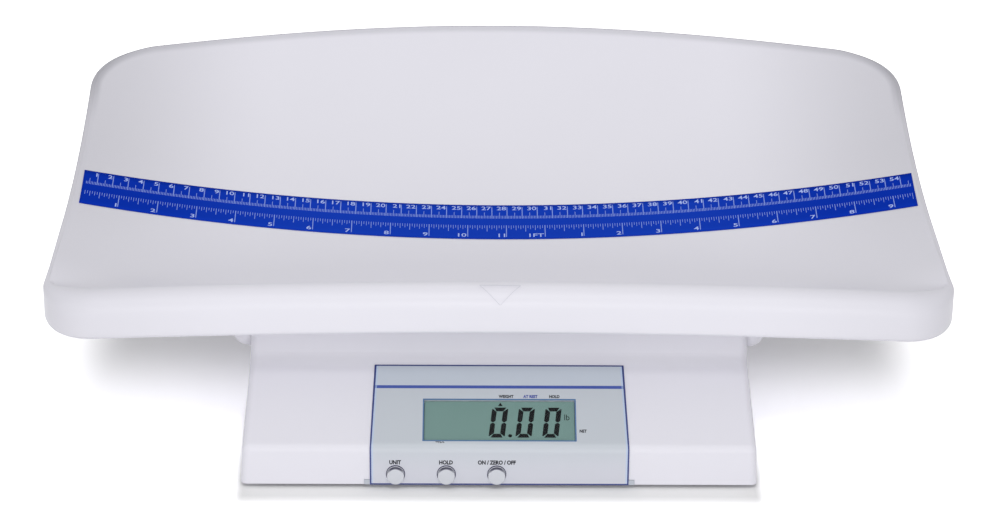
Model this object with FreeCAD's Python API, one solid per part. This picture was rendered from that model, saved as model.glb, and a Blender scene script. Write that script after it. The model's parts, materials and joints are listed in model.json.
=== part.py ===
import FreeCAD, Part
import math
import os

# Digital baby weighing scale.  Millimetres, +X to the right, the display faces -Y, +Z up.
# The origin is under the middle of the whole object, on the surface it stands on.

# ---------------------------------------------------------------- driving dimensions
# tray
TRAY_WIDTH = 558.0
TRAY_DEPTH = 370.0
TRAY_BACK_BOW = 59.0
TRAY_WALL = 3.5
TRAY_FRONT_CORNER_R = 34.0
TRAY_BACK_CORNER_R = 60.0
SEAT_RADIUS = 558.0
SEAT_SIDE_RISE = 31.0
SEAT_LOW_FROM_LIP = 44.3
RIM_R = 4.0
RIM_INSET = 4.5
RIM_RISE = 0.8
RIM_SKIN = 3.6
RIM_BAND = 6.4
LIP_WIDTH = 24.0
LIP_ROUND_R = 12.0
LIP_TOP_RISE = 33.3
LIP_TOP_DROOP = 6.6
LIP_ROUND_DROP = 5.5
LIP_HEIGHT = 29.2
LIP_BOTTOM_DROOP = 8.2
LIP_INNER_RUN = 41.0
LIP_INNER_POWER = 2.2
SKIRT_DEPTH = 12.0
LIP_BLEND_START = 20.0
LIP_BLEND_END = 110.0
LIP_BLEND_SOFT = 2.0

# ruler tape
TAPE_LENGTH = 550.0
TAPE_WIDTH = 41.0
TAPE_FROM_LIP = 170.0
TAPE_BOW = 9.9
TAPE_THICK = 0.3
TAPE_GLUE = 0.1

# housing
LIP_SETBACK = 30.0
BASE_WIDTH = 312.5
BASE_DEPTH = 275.0
BASE_WALL = 2.8
SIDE_DRAFT_DEG = 3.0
BASE_EDGE_R = 4.5
BASE_REAR_R = 12.0
FOOT_PROUD = 2.5
ROOF_HEIGHT = 55.5
BAND_HEIGHT = 23.9
FACE_DEG = 33.0
FACE_RUN = 53.0
FACE_ROUND_R = 6.0
NECK_ROUND_R = 14.0
NECK_HEIGHT = 22.5
NECK_RUN = 5.5
BROW_THICK = 6.0

# display panel, measured along the sloping face from its lower corner
PANEL_HALF_LOW = 78.2
PANEL_HALF_TOP = 76.3
PANEL_TOP = 59.8
PANEL_SINK = 1.0
BEZEL_PROUD = 0.5
OVERLAY_THICK = 0.4
EAR_WIDTH = 3.5
EAR_HEIGHT = 3.2
WINDOW_WIDTH = 91.4
WINDOW_LOW = 5.1
WINDOW_TOP = 34.2
WINDOW_THICK = 1.0
LCD_MARGIN = 3.0
LCD_THICK = 2.8
LCD_FRAME_DEPTH = 5.4
LCD_FRAME_WALL = 2.0

# buttons
BUTTON_X = (-62.6, -32.0, -1.6)
BUTTON_NAMES = ("unit", "hold", "zero")
BUTTON_R = 5.2
BUTTON_PROUD = 2.6
BUTTON_ABOVE_EDGE = 6.2
BUTTON_CLEAR = 0.25
BUTTON_FLANGE_R = 6.3
BUTTON_FLANGE_THICK = 1.2
BUTTON_DOME = 0.7
BUTTON_TRAVEL = 0.6

# boards
BOARD_THICK = 1.6
BOARD_HALF_WIDTH = 72.0
BOARD_LOW = 8.0
BOARD_TOP = 56.0
BOARD_SCREW_X = 66.0
CHIP_SIZE = 14.0
CHIP_HEIGHT = 1.6
CAN_R = 4.0
CAN_HEIGHT = 9.0
PLUG_X = -50.0
PLUG_WIDTH = 16.0
PLUG_DEPTH = 6.0
PLUG_HEIGHT = 6.0
KEY_SWITCH_SIZE = 6.0
KEY_SWITCH_BODY = 3.5
PLUNGER_R = 1.7
PLUNGER_HELD = 0.8
PLUNGER_CLEAR = 0.05
KEY_BOARD_TOP = 17.0
KEY_BOARD_LOW = 5.4
KEY_BOARD_MARGIN = 10.0
BOARD_POST_R = 3.0
SMALL_SCREW_R = 1.25
SMALL_HEAD_R = 2.4
SMALL_HEAD = 1.6
SMALL_SCREW_LENGTH = 7.0

# weighing platform and load cell
PLATFORM_WIDTH = 332.0
PLATFORM_DEPTH = 170.0
PLATFORM_HEIGHT = 16.3
PLATFORM_WALL = 3.0
PLATFORM_CORNER_R = 28.0
PLATFORM_EDGE_R = 10.0
PLATFORM_GAP = 5.0
PLATFORM_BEHIND_BROW = 3.0
SEAT_OVER_PLATFORM = 1.2
CARRIER_WIDTH = 230.0
CARRIER_DEPTH = 130.0
CARRIER_THICK = 2.5
CARRIER_CORNER_R = 8.0
CELL_LENGTH = 130.0
CELL_WIDTH = 30.0
CELL_HEIGHT = 22.0
CELL_HOLE_R = 6.5
CELL_HOLE_PITCH = 22.0
CELL_FROM_FRONT = 160.0
CELL_BOLT_OUT = 55.0
CELL_BOLT_IN = 40.0
SPACER_LENGTH = 32.0
LOWER_SPACER = 8.0
BOLT_R = 3.0
BOLT_CLEAR = 0.3
BOLT_HEAD_R = 5.0
BOLT_HEAD = 3.6
BOLT_IN_CELL = 14.0
STOP_GAP = 0.6
STOP_NUT = 5.0
STOP_NUT_FLATS = 10.0
CHASSIS_WIDTH = 190.0
CHASSIS_DEPTH = 70.0
CHASSIS_THICK = 2.0
CHASSIS_POST = 4.1
CHASSIS_POST_R = 4.5
CHASSIS_INSET = 10.0
ROOF_HOLE_CLEAR = 4.0

# tray bosses and their screws
BOSS_R = 7.0
BOSS_X = 138.0
BOSS_FRONT = 92.0
BOSS_BACK = 214.0
TRAY_SCREW_R = 2.0
TRAY_HEAD_R = 4.0
TRAY_HEAD = 2.4
TRAY_SCREW_LENGTH = 12.0

# bottom cover, feet and housing screws
COVER_THICK = 2.4
COVER_CLEAR = 0.4
FOOT_R = 10.0
FOOT_RECESS = 0.9
FOOT_X = 138.0
FOOT_FRONT = 44.0
FOOT_REAR_INSET = 30.0
CUP_R = 6.5
CUP_HEIGHT = 7.0
CUP_FLOOR = 2.5
CASE_BOSS_R = 4.5
CASE_SCREW_R = 1.6
CASE_HEAD_R = 3.4
CASE_HEAD = 2.2
CASE_SCREW_LENGTH = 14.0
CASE_SCREW_X = 141.0
CASE_SCREW_FRONT = 26.0
CASE_SCREW_REAR_INSET = 14.0

# battery bay, in the rear left of the bottom cover
CELL_R = 7.1
CELL_LEN = 50.5
BATTERIES = 4
BAY_X = -92.0
BAY_WALL = 1.6
BAY_CLEAR = 0.5
BAY_FROM_REAR = 4.5
CONTACT_SPACE = 3.0
CONTACT_THICK = 0.4
DOOR_THICK = 2.1
DOOR_CLEAR = 0.3
TONGUE = 1.6
TONGUE_THICK = 0.6
GROOVE_CLEAR = 0.15
DOOR_LIP = 3.0

# power inlet in the rear wall
JACK_X = 70.0
JACK_Z = 20.0
JACK_WIDTH = 9.0
JACK_HEIGHT = 11.0
JACK_DEPTH = 14.0
JACK_R = 3.2
JACK_PIN_R = 1.0
JACK_FLANGE = 1.5

# load cell lead
LEAD_R = 1.8
LEAD_OUT = 47.0
LEAD_DROP = 18.0
EPS = 0.01

# ---------------------------------------------------------------- derived places
HALF_TRAY = TRAY_WIDTH / 2
BUTTONS_OUT = BEZEL_PROUD + OVERLAY_THICK + BUTTON_PROUD
FRONT = -(LIP_SETBACK + TRAY_DEPTH - BUTTONS_OUT) / 2
LIP_Y = FRONT + LIP_SETBACK
BACK_Y = LIP_Y + TRAY_DEPTH
SEAT_Y = LIP_Y + SEAT_LOW_FROM_LIP
SEAT_SIDE_K = SEAT_SIDE_RISE / HALF_TRAY ** 2
REAR = FRONT + BASE_DEPTH
HALF_BASE = BASE_WIDTH / 2
DRAFT = math.tan(math.radians(SIDE_DRAFT_DEG))
CASE_Z = FOOT_PROUD
ROOF_Z = CASE_Z + ROOF_HEIGHT
FACE = math.radians(FACE_DEG)
CORNER_Z = CASE_Z + BAND_HEIGHT
NECK_Y = FRONT + FACE_RUN
NECK_Z = CORNER_Z + FACE_RUN * math.tan(FACE)
BROW_Y = NECK_Y + NECK_RUN
BROW_Z = NECK_Z + NECK_HEIGHT
BROW_BACK = BROW_Y + BROW_THICK
PLATFORM_Z = ROOF_Z + PLATFORM_GAP
PLATFORM_Y = BROW_BACK + PLATFORM_BEHIND_BROW
PLATFORM_FLOOR = PLATFORM_Z + PLATFORM_WALL
SEAT_Z = PLATFORM_Z + PLATFORM_HEIGHT + SEAT_OVER_PLATFORM + TRAY_WALL
LIP_TOP_Z = SEAT_Z + LIP_TOP_RISE
LIP_BOTTOM_Z = LIP_TOP_Z - LIP_HEIGHT
LIP_INNER_Y = LIP_Y + LIP_WIDTH
CELL_Y = FRONT + CELL_FROM_FRONT
COVER_TOP = CASE_Z + COVER_THICK
CHASSIS_Z = COVER_TOP + CHASSIS_POST
SPACER_Z = CHASSIS_Z + CHASSIS_THICK
CELL_Z = SPACER_Z + LOWER_SPACER
CELL_TOP = CELL_Z + CELL_HEIGHT
CARRIER_TOP = PLATFORM_FLOOR + CARRIER_THICK
BUTTON_Z = CASE_Z + BUTTON_ABOVE_EDGE
CELL_MID = (CELL_BOLT_OUT + CELL_BOLT_IN) / 2


def vec(x, y, z):
    return FreeCAD.Vector(x, y, z)


# ---------------------------------------------------------------- small makers
def box(x0, x1, y0, y1, z0, z1):
    return Part.makeBox(x1 - x0, y1 - y0, z1 - z0, vec(x0, y0, z0))


def rod_z(x, y, z0, z1, r):
    return Part.makeCylinder(r, z1 - z0, vec(x, y, z0))


def rod_y(x, z, y0, y1, r):
    return Part.makeCylinder(r, y1 - y0, vec(x, y0, z), vec(0, 1, 0))


def on_face(shape):
    """Carry a shape from the sloping face's own frame (x, up the face, outwards) into place."""
    shape.rotate(vec(0, 0, 0), vec(1, 0, 0), FACE_DEG)
    shape.translate(vec(0, FRONT, CORNER_Z))
    return shape


def smooth(t):
    """A step from 0 to 1 with level ends."""
    t = min(max(t, 0.0), 1.0)
    return t * t * (3 - 2 * t)


def round_edges(shape, radius, pick):
    """Round every edge of the shape that pick accepts."""
    edges = [edge for edge in shape.Edges if pick(edge)]
    return shape.makeFillet(radius, edges)


def upright(edge):
    """True for a straight edge parallel to Z."""
    a, b = edge.Vertexes[0].Point, edge.Vertexes[-1].Point
    return abs(a.x - b.x) < EPS and abs(a.y - b.y) < EPS and abs(a.z - b.z) > EPS


def in_plane_z(z):
    def test(edge):
        return all(abs(v.Point.z - z) < EPS for v in edge.Vertexes)
    return test


# ---------------------------------------------------------------- tray surfaces
def seat_height(x, y):
    """The dished seat: an arc from front to back, with a parabola that lifts the sides."""
    run = y - SEAT_Y
    return SEAT_Z + SEAT_RADIUS - math.sqrt(SEAT_RADIUS ** 2 - run ** 2) + SEAT_SIDE_K * x * x


def lip_top(x):
    return LIP_TOP_Z - LIP_TOP_DROOP * (x / HALF_TRAY) ** 2


def front_shift(x):
    """How far the lip carries the rim over the seat; less than nought towards the sides."""
    return lip_top(x) - LIP_ROUND_DROP - seat_height(x, LIP_Y) - RIM_RISE


def front_fade(y):
    """The share of the lip's form that is left at y: 1 at the front, 0 past the blend."""
    return 1 - smooth((y - LIP_Y - LIP_BLEND_START) / (LIP_BLEND_END - LIP_BLEND_START))


def inside_height(x, y):
    """The inner surface: the seat, which climbs to the front lip and sinks to its ends."""
    t = (y - LIP_INNER_Y) / LIP_INNER_RUN
    shift = front_shift(x)
    climb = (shift + math.hypot(shift, LIP_BLEND_SOFT)) / 2
    rise = climb * min(max(1 - t, 0.0), 1.0) ** LIP_INNER_POWER
    return seat_height(x, y) + rise + (shift - climb) * front_fade(y)


def underside_height(x, y):
    """The inner surface lowered by the wall, measured square to the slope."""
    step = 1.0
    slope_x = (inside_height(x + step, y) - inside_height(x - step, y)) / (2 * step)
    slope_y = (inside_height(x, y + step) - inside_height(x, y - step)) / (2 * step)
    return inside_height(x, y) - TRAY_WALL * math.sqrt(1 + slope_x ** 2 + slope_y ** 2)


def rim_height(x, y):
    """The top of the rim: a little above the seat, raised to the lip at the front."""
    off_crown = min(abs(y - LIP_Y - LIP_ROUND_R) / LIP_ROUND_R, 1.0)
    shift = front_shift(x) + LIP_ROUND_DROP * (1 - off_crown ** 2)
    return seat_height(x, y) + RIM_RISE + shift * front_fade(y)


def rim_underside_height(x, y):
    return rim_height(x, y) - RIM_SKIN


def skirt_height(x, y):
    """The lower edge of the skirt: deep under the front lip, shallow round the sides and back."""
    lip = LIP_BOTTOM_Z - LIP_BOTTOM_DROOP * (x / HALF_TRAY) ** 2
    plain = seat_height(x, y) - SKIRT_DEPTH
    return plain + (lip - plain) * front_fade(y)


def sheet(height):
    """A smooth face through the heights that the function gives over the whole tray."""
    margin = TRAY_WALL * 2
    columns = 17
    rows = 44
    grid = []
    for i in range(columns):
        x = (HALF_TRAY + margin) * (2 * i / (columns - 1) - 1)
        row = []
        for j in range(rows):
            y = LIP_Y - margin + (TRAY_DEPTH + 2 * margin) * j / (rows - 1)
            row.append(vec(x, y, height(x, y)))
        grid.append(row)
    surface = Part.BSplineSurface()
    surface.interpolate(grid)
    return surface.toShape()


def below(face):
    return face.extrude(vec(0, 0, -TRAY_DEPTH))


def above(face):
    return face.extrude(vec(0, 0, TRAY_DEPTH))


def tray_prism(front, side, back):
    """An upright prism of the tray's outline, drawn in by the three given insets."""
    x = HALF_TRAY - side
    y0 = LIP_Y + front
    y1 = BACK_Y - back
    corner_y = y1 - TRAY_BACK_BOW
    a, b = vec(-x, y0, 0), vec(x, y0, 0)
    c, d = vec(x, corner_y, 0), vec(-x, corner_y, 0)
    wire = Part.Wire([
        Part.LineSegment(a, b).toShape(),
        Part.LineSegment(b, c).toShape(),
        Part.Arc(c, vec(0, y1, 0), d).toShape(),
        Part.LineSegment(d, a).toShape(),
    ])
    prism = Part.Face(wire).extrude(vec(0, 0, TRAY_DEPTH))
    middle = (y0 + corner_y) / 2
    front_r = max(TRAY_FRONT_CORNER_R - max(front, side), TRAY_WALL)
    back_r = max(TRAY_BACK_CORNER_R - max(back, side), TRAY_WALL)
    prism = round_edges(prism, front_r, lambda e: upright(e) and e.Vertexes[0].Point.y < middle)
    return round_edges(prism, back_r, lambda e: upright(e) and len(e.Vertexes) == 2
                       and abs(e.Vertexes[0].Point.y - corner_y) < EPS)


def make_tray():
    inside = sheet(inside_height)
    outer = tray_prism(0, 0, 0).common(below(sheet(rim_height)))
    outer = outer.common(above(sheet(skirt_height)))
    outer = Part.Solid(outer.Solids[0])

    def on_rim(edge):
        reach = edge.BoundBox
        return reach.XLength + reach.YLength > 2 * RIM_INSET

    outer = round_edges(outer, RIM_R, on_rim)
    hollow = tray_prism(TRAY_WALL, TRAY_WALL, TRAY_WALL).common(below(sheet(rim_underside_height)))
    ring = outer.cut(tray_prism(LIP_WIDTH, RIM_BAND, RIM_BAND)).cut(hollow)
    slab = tray_prism(LIP_WIDTH - RIM_INSET, RIM_INSET, RIM_INSET).common(below(inside))
    slab = slab.common(above(sheet(underside_height)))
    tray = ring.fuse(slab)
    for x, y in boss_places():
        post = rod_z(x, y, PLATFORM_FLOOR, inside_height(x, y), BOSS_R).common(below(inside))
        hole = rod_z(x, y, PLATFORM_FLOOR, PLATFORM_FLOOR + TRAY_SCREW_LENGTH, TRAY_SCREW_R)
        tray = tray.fuse(post).cut(hole)
    return tray


def boss_places():
    return [(x, FRONT + y) for x in (-BOSS_X, BOSS_X) for y in (BOSS_FRONT, BOSS_BACK)]


def make_tape():
    """A thin printed strip that lies on the seat and bends forwards a little at its ends."""
    middle = LIP_Y + TAPE_FROM_LIP
    slope = (middle - SEAT_Y) / math.sqrt(SEAT_RADIUS ** 2 - (middle - SEAT_Y) ** 2)
    half = TAPE_WIDTH / 2 / math.sqrt(1 + slope ** 2)
    reach = TAPE_LENGTH / 2
    sag = SEAT_SIDE_K * reach
    end = reach * (1 - 2 * sag ** 2 / 3)
    wires = []
    for y in (middle - half, middle + half):
        wires.append(Part.Arc(vec(-end, y - TAPE_BOW, 0), vec(0, y, 0),
                              vec(end, y - TAPE_BOW, 0)).toShape())
    low, high = wires
    sides = [Part.LineSegment(vec(s * end, middle - half - TAPE_BOW, 0),
                              vec(s * end, middle + half - TAPE_BOW, 0)).toShape() for s in (1, -1)]
    outline = Part.Face(Part.Wire([low, sides[0], high, sides[1]]))
    strip = outline.extrude(vec(0, 0, TRAY_DEPTH)).common(tray_prism(LIP_WIDTH, RIM_BAND, RIM_BAND))
    skin = sheet(inside_height).extrude(vec(0, 0, TAPE_THICK))
    skin.translate(vec(0, 0, TAPE_GLUE))
    return strip.common(skin)


# ---------------------------------------------------------------- housing
def face_profile(out, low, top):
    """Points of the front outline, offset outwards: band, round, sloping face."""
    centre_y = FRONT + FACE_ROUND_R
    half_turn = (math.pi / 2 - FACE) / 2
    centre_z = CORNER_Z - FACE_ROUND_R * math.tan(half_turn)
    r = FACE_ROUND_R + out
    start = vec(0, FRONT - out, centre_z)
    mid = vec(0, centre_y - r * math.cos(half_turn), centre_z + r * math.sin(half_turn))
    end = vec(0, centre_y - r * math.sin(FACE), centre_z + r * math.cos(FACE))
    run = vec(0, FRONT - out * math.sin(FACE) + top * math.cos(FACE),
              CORNER_Z + out * math.cos(FACE) + top * math.sin(FACE))
    return vec(0, FRONT - out, low), start, mid, end, run


def front_strip(inner, outer, low, top, half_low, half_top):
    """A strip that follows the front from the band up the face, narrower towards its top."""
    a0, a1, am, a2, a3 = face_profile(outer, low, top)
    b0, b1, bm, b2, b3 = face_profile(inner, low, top)
    edges = [
        Part.LineSegment(a0, a1).toShape(),
        Part.Arc(a1, am, a2).toShape(),
        Part.LineSegment(a2, a3).toShape(),
        Part.LineSegment(a3, b3).toShape(),
        Part.LineSegment(b3, b2).toShape(),
        Part.Arc(b2, bm, b1).toShape(),
        Part.LineSegment(b1, b0).toShape(),
        Part.LineSegment(b0, a0).toShape(),
    ]
    strip = Part.Face(Part.Wire(edges)).extrude(vec(BASE_WIDTH, 0, 0))
    strip.translate(vec(-HALF_BASE, 0, 0))
    top_z = CORNER_Z + (top + BASE_WALL) * math.sin(FACE) + BASE_WALL
    y = FRONT - BASE_WALL
    corners = [vec(-half_low, y, low), vec(half_low, y, low), vec(half_low, y, CORNER_Z),
               vec(half_top, y, top_z), vec(-half_top, y, top_z), vec(-half_low, y, CORNER_Z)]
    outline = Part.Face(Part.makePolygon(corners + [corners[0]]))
    return strip.common(outline.extrude(vec(0, BASE_DEPTH, 0)))


def drafted(shape, inset):
    """Cut a shape to the housing's leaning sides, drawn in by an inset."""
    low = HALF_BASE - inset
    height = BROW_Z + BASE_WALL
    top = low - (height - CASE_Z) * DRAFT
    y = FRONT - BASE_WALL
    corners = [vec(-low, y, CASE_Z), vec(low, y, CASE_Z), vec(top, y, height), vec(-top, y, height)]
    outline = Part.Face(Part.makePolygon(corners + [corners[0]]))
    return shape.common(outline.extrude(vec(0, BASE_DEPTH + 2 * BASE_WALL, 0)))


def case_outer():
    """The housing's outer body: band, sloping face, neck with its brow, and level roof."""
    low, start, mid, end, _ = face_profile(0, CASE_Z, FACE_RUN)
    neck_deg = math.atan2(NECK_HEIGHT, NECK_RUN)
    tangent = NECK_ROUND_R * math.tan((neck_deg - FACE) / 2)
    p = vec(0, NECK_Y - tangent * math.cos(FACE), NECK_Z - tangent * math.sin(FACE))
    q = vec(0, NECK_Y + tangent * math.cos(neck_deg), NECK_Z + tangent * math.sin(neck_deg))
    centre = p + vec(0, -math.sin(FACE), math.cos(FACE)) * NECK_ROUND_R
    halfway = (FACE + neck_deg) / 2
    m = centre + vec(0, math.sin(halfway), -math.cos(halfway)) * NECK_ROUND_R
    points = [q, vec(0, BROW_Y, BROW_Z), vec(0, BROW_BACK, BROW_Z), vec(0, BROW_BACK, ROOF_Z),
              vec(0, REAR, ROOF_Z), vec(0, REAR, CASE_Z), low]
    edges = [Part.LineSegment(low, start).toShape(), Part.Arc(start, mid, end).toShape(),
             Part.LineSegment(end, p).toShape(), Part.Arc(p, m, q).toShape()]
    edges += [Part.LineSegment(a, b).toShape() for a, b in zip(points, points[1:])]
    body = Part.Face(Part.Wire(edges)).extrude(vec(BASE_WIDTH, 0, 0))
    body.translate(vec(-HALF_BASE, 0, 0))
    body = drafted(body, 0)

    def rear_corner(edge):
        zs = [v.Point.z for v in edge.Vertexes]
        return (all(abs(v.Point.y - REAR) < EPS for v in edge.Vertexes)
                and max(zs) - min(zs) > ROOF_HEIGHT / 2)

    body = round_edges(body, BASE_REAR_R, rear_corner)

    def side_edge(edge):
        points_ = [v.Point for v in edge.Vertexes]
        outside = all(abs(abs(v.x) - (HALF_BASE - (v.z - CASE_Z) * DRAFT)) < EPS for v in points_)
        front = all(v.y < BROW_Y + EPS for v in points_)
        low_edge = all(abs(v.z - CASE_Z) < EPS for v in points_)
        return outside and front and not low_edge

    body = round_edges(body, BASE_EDGE_R, side_edge)

    def roof_edge(edge):
        points_ = [v.Point for v in edge.Vertexes]
        level = all(abs(v.z - ROOF_Z) < EPS for v in points_)
        return level and not all(abs(v.y - BROW_BACK) < EPS for v in points_)

    return round_edges(body, BASE_EDGE_R, roof_edge)


def case_inner():
    """The room inside the housing."""
    low, start, mid, end, _ = face_profile(-BASE_WALL, CASE_Z, FACE_RUN)
    ceiling = ROOF_Z - BASE_WALL
    reach = (ceiling - end.z) / math.tan(FACE)
    top = vec(0, end.y + reach, ceiling)
    points = [end, top, vec(0, REAR - BASE_WALL, ceiling), vec(0, REAR - BASE_WALL, CASE_Z), low]
    edges = [Part.LineSegment(low, start).toShape(), Part.Arc(start, mid, end).toShape()]
    edges += [Part.LineSegment(a, b).toShape() for a, b in zip(points, points[1:])]
    room = Part.Face(Part.Wire(edges)).extrude(vec(BASE_WIDTH, 0, 0))
    room.translate(vec(-HALF_BASE, 0, 0))
    room = drafted(room, BASE_WALL)

    def rear_corner(edge):
        zs = [v.Point.z for v in edge.Vertexes]
        return (all(abs(v.Point.y - REAR + BASE_WALL) < EPS for v in edge.Vertexes)
                and max(zs) - min(zs) > ROOF_HEIGHT / 2)

    return round_edges(room, BASE_REAR_R - BASE_WALL, rear_corner)


def case_screw_places():
    rear = REAR - CASE_SCREW_REAR_INSET
    return [(x, y) for x in (-CASE_SCREW_X, CASE_SCREW_X) for y in (FRONT + CASE_SCREW_FRONT, rear)]


def window_hole(grow, low, high):
    """A block on the sloping face, as large as the display window plus a margin all round."""
    half = WINDOW_WIDTH / 2 + grow
    return on_face(box(-half, half, WINDOW_LOW - grow, WINDOW_TOP + grow, low, high))


def board_screw_places():
    inset = BOARD_HALF_WIDTH - BOARD_SCREW_X
    return [(x, v) for x in (-BOARD_SCREW_X, BOARD_SCREW_X)
            for v in (BOARD_LOW + inset, BOARD_TOP - inset)]


def key_screw_x():
    return [(a + b) / 2 for a, b in zip(BUTTON_X, BUTTON_X[1:])]


BOARD_FACE = -(BASE_WALL + 1.0 + LCD_THICK + LCD_FRAME_DEPTH)
FLANGE_Y = FRONT + BASE_WALL + 0.3
PLUNGER_Y = FLANGE_Y + BUTTON_FLANGE_THICK
SWITCH_Y = PLUNGER_Y + BUTTON_TRAVEL + 0.4
KEY_BOARD_Y = SWITCH_Y + KEY_SWITCH_BODY


def make_housing():
    case = case_outer().cut(case_inner())
    room = case_inner()
    case = case.cut(front_strip(-PANEL_SINK, BASE_WALL, CASE_Z, PANEL_TOP, PANEL_HALF_LOW,
                                PANEL_HALF_TOP))
    ear = PANEL_HALF_LOW + EAR_WIDTH
    case = case.cut(box(-ear, ear, FRONT - PANEL_SINK, FRONT + PANEL_SINK, CASE_Z,
                        CASE_Z + EAR_HEIGHT))
    case = case.cut(window_hole(0, -2 * BASE_WALL, BASE_WALL))
    for x in BUTTON_X:
        case = case.cut(rod_y(x, BUTTON_Z, FRONT - 1, FRONT + BASE_WALL + 1, BUTTON_R + BUTTON_CLEAR))
    for x, y in case_screw_places():
        post = rod_z(x, y, CASE_Z + CUP_HEIGHT, ROOF_Z, CASE_BOSS_R).common(room)
        screw = rod_z(x, y, 0, CASE_Z + CUP_FLOOR + CASE_SCREW_LENGTH, CASE_SCREW_R)
        case = case.fuse(post).cut(screw)
    for x, v in board_screw_places():
        post = Part.makeCylinder(BOARD_POST_R, -BOARD_FACE - BASE_WALL / 2, vec(x, v, BOARD_FACE))
        hole = Part.makeCylinder(SMALL_SCREW_R, SMALL_SCREW_LENGTH - BOARD_THICK, vec(x, v, BOARD_FACE))
        case = case.fuse(on_face(post)).cut(on_face(hole))
    for x in key_screw_x():
        post = rod_y(x, KEY_SCREW_Z, FRONT + BASE_WALL / 2, KEY_BOARD_Y, BOARD_POST_R)
        hole = rod_y(x, KEY_SCREW_Z, FRONT + BASE_WALL, KEY_BOARD_Y, SMALL_SCREW_R)
        case = case.fuse(post).cut(hole)
    x0, x1, y0, y1 = spacer_box()
    clear = ROOF_HOLE_CLEAR
    case = case.cut(box(x0 - clear, x1 + clear, y0 - clear, y1 + clear, ROOF_Z - 2 * BASE_WALL, ROOF_Z + 1))
    bay = bay_box()
    gap = TONGUE + GROOVE_CLEAR + DOOR_CLEAR
    case = case.cut(box(bay[0] - gap, bay[1] + gap, REAR - 2 * BASE_WALL, REAR + 1, CASE_Z,
                        COVER_TOP + DOOR_CLEAR))
    half = JACK_WIDTH / 2 + DOOR_CLEAR / 2
    return case.cut(box(JACK_X - half, JACK_X + half, REAR - 2 * BASE_WALL, REAR + 1,
                        JACK_Z - JACK_HEIGHT / 2 - DOOR_CLEAR / 2, JACK_Z + JACK_HEIGHT / 2 + DOOR_CLEAR / 2))


KEY_SCREW_Z = BUTTON_Z + 1.5


def bay_box():
    """Left, right, front and rear of the battery bay's opening."""
    half = BATTERIES * CELL_R + BAY_CLEAR
    rear = REAR - BAY_FROM_REAR - BAY_WALL
    return BAY_X - half, BAY_X + half, rear - CELL_LEN - 2 * CONTACT_SPACE, rear


def make_cover():
    room = case_inner()
    inset = BASE_WALL + COVER_CLEAR
    floor = drafted(box(-HALF_BASE, HALF_BASE, FRONT + inset, REAR - inset, CASE_Z, COVER_TOP), inset)

    def rear_corner(edge):
        level = edge.BoundBox.ZLength
        return edge.BoundBox.YMin > REAR - inset - EPS and level > COVER_THICK / 2

    floor = round_edges(floor, BASE_REAR_R - inset, rear_corner)
    for x in BUTTON_X:
        floor = floor.cut(rod_y(x, BUTTON_Z, FRONT, KEY_BOARD_Y, BUTTON_R + 2 * BUTTON_CLEAR))
    for x, y in case_screw_places():
        cup = rod_z(x, y, CASE_Z, CASE_Z + CUP_HEIGHT, CUP_R).common(room)
        floor = floor.fuse(cup)
        floor = floor.cut(rod_z(x, y, 0, CASE_Z + CUP_FLOOR, CASE_HEAD_R + BOLT_CLEAR))
        floor = floor.cut(rod_z(x, y, 0, ROOF_Z, CASE_SCREW_R + BOLT_CLEAR))
    for x, y in foot_places():
        floor = floor.cut(rod_z(x, y, 0, CASE_Z + FOOT_RECESS, FOOT_R))
    for x, y in chassis_screw_places():
        floor = floor.fuse(rod_z(x, y, COVER_TOP, CHASSIS_Z, CHASSIS_POST_R))
        floor = floor.cut(rod_z(x, y, CASE_Z + 1, CHASSIS_Z, SMALL_SCREW_R))
    x0, x1, y0, _ = bay_box()
    floor = floor.cut(box(x0, x1, y0, REAR, CASE_Z, COVER_TOP))
    reach = TONGUE + GROOVE_CLEAR - DOOR_CLEAR
    tongue_z = CASE_Z + (DOOR_THICK - TONGUE_THICK) / 2
    return floor.cut(box(x0 - reach, x1 + reach, y0 - reach, REAR, tongue_z - GROOVE_CLEAR,
                         tongue_z + TONGUE_THICK + GROOVE_CLEAR))


def foot_places():
    return [(x, y) for x in (-FOOT_X, FOOT_X) for y in (FRONT + FOOT_FRONT, REAR - FOOT_REAR_INSET)]


def group(shapes):
    return Part.makeCompound(shapes)


def make_feet():
    feet = []
    for x, y in foot_places():
        foot = rod_z(x, y, 0, CASE_Z + FOOT_RECESS, FOOT_R)
        feet.append(round_edges(foot, 1.0, in_plane_z(0)))
    return group(feet)


def screw_up(x, y, head_z, head_r, head, r, length):
    """A screw whose head's seat is at head_z and whose shank points up."""
    body = rod_z(x, y, head_z - head, head_z, head_r)
    slot = head_r / 5
    body = body.fuse(rod_z(x, y, head_z, head_z + length, r))
    for turn in (0, 90):
        cut = box(x - head_r * 0.6, x + head_r * 0.6, y - slot / 2, y + slot / 2,
                  head_z - head, head_z - head / 2)
        cut.rotate(vec(x, y, 0), vec(0, 0, 1), turn)
        body = body.cut(cut)
    return body


def screw_down(x, y, head_z, head_r, head, r, length):
    """A screw whose head's seat is at head_z and whose shank points down."""
    body = screw_up(x, y, head_z, head_r, head, r, length)
    body.rotate(vec(x, y, head_z), vec(1, 0, 0), 180)
    return body


def make_case_screws():
    return group([screw_up(x, y, CASE_Z + CUP_FLOOR, CASE_HEAD_R, CASE_HEAD, CASE_SCREW_R,
                           CASE_SCREW_LENGTH) for x, y in case_screw_places()])


# ---------------------------------------------------------------- display
def button_holes(shape, grow):
    for x in BUTTON_X:
        shape = shape.cut(rod_y(x, BUTTON_Z, FRONT - BASE_WALL, FRONT + BASE_WALL, BUTTON_R + grow))
    return shape


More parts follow.
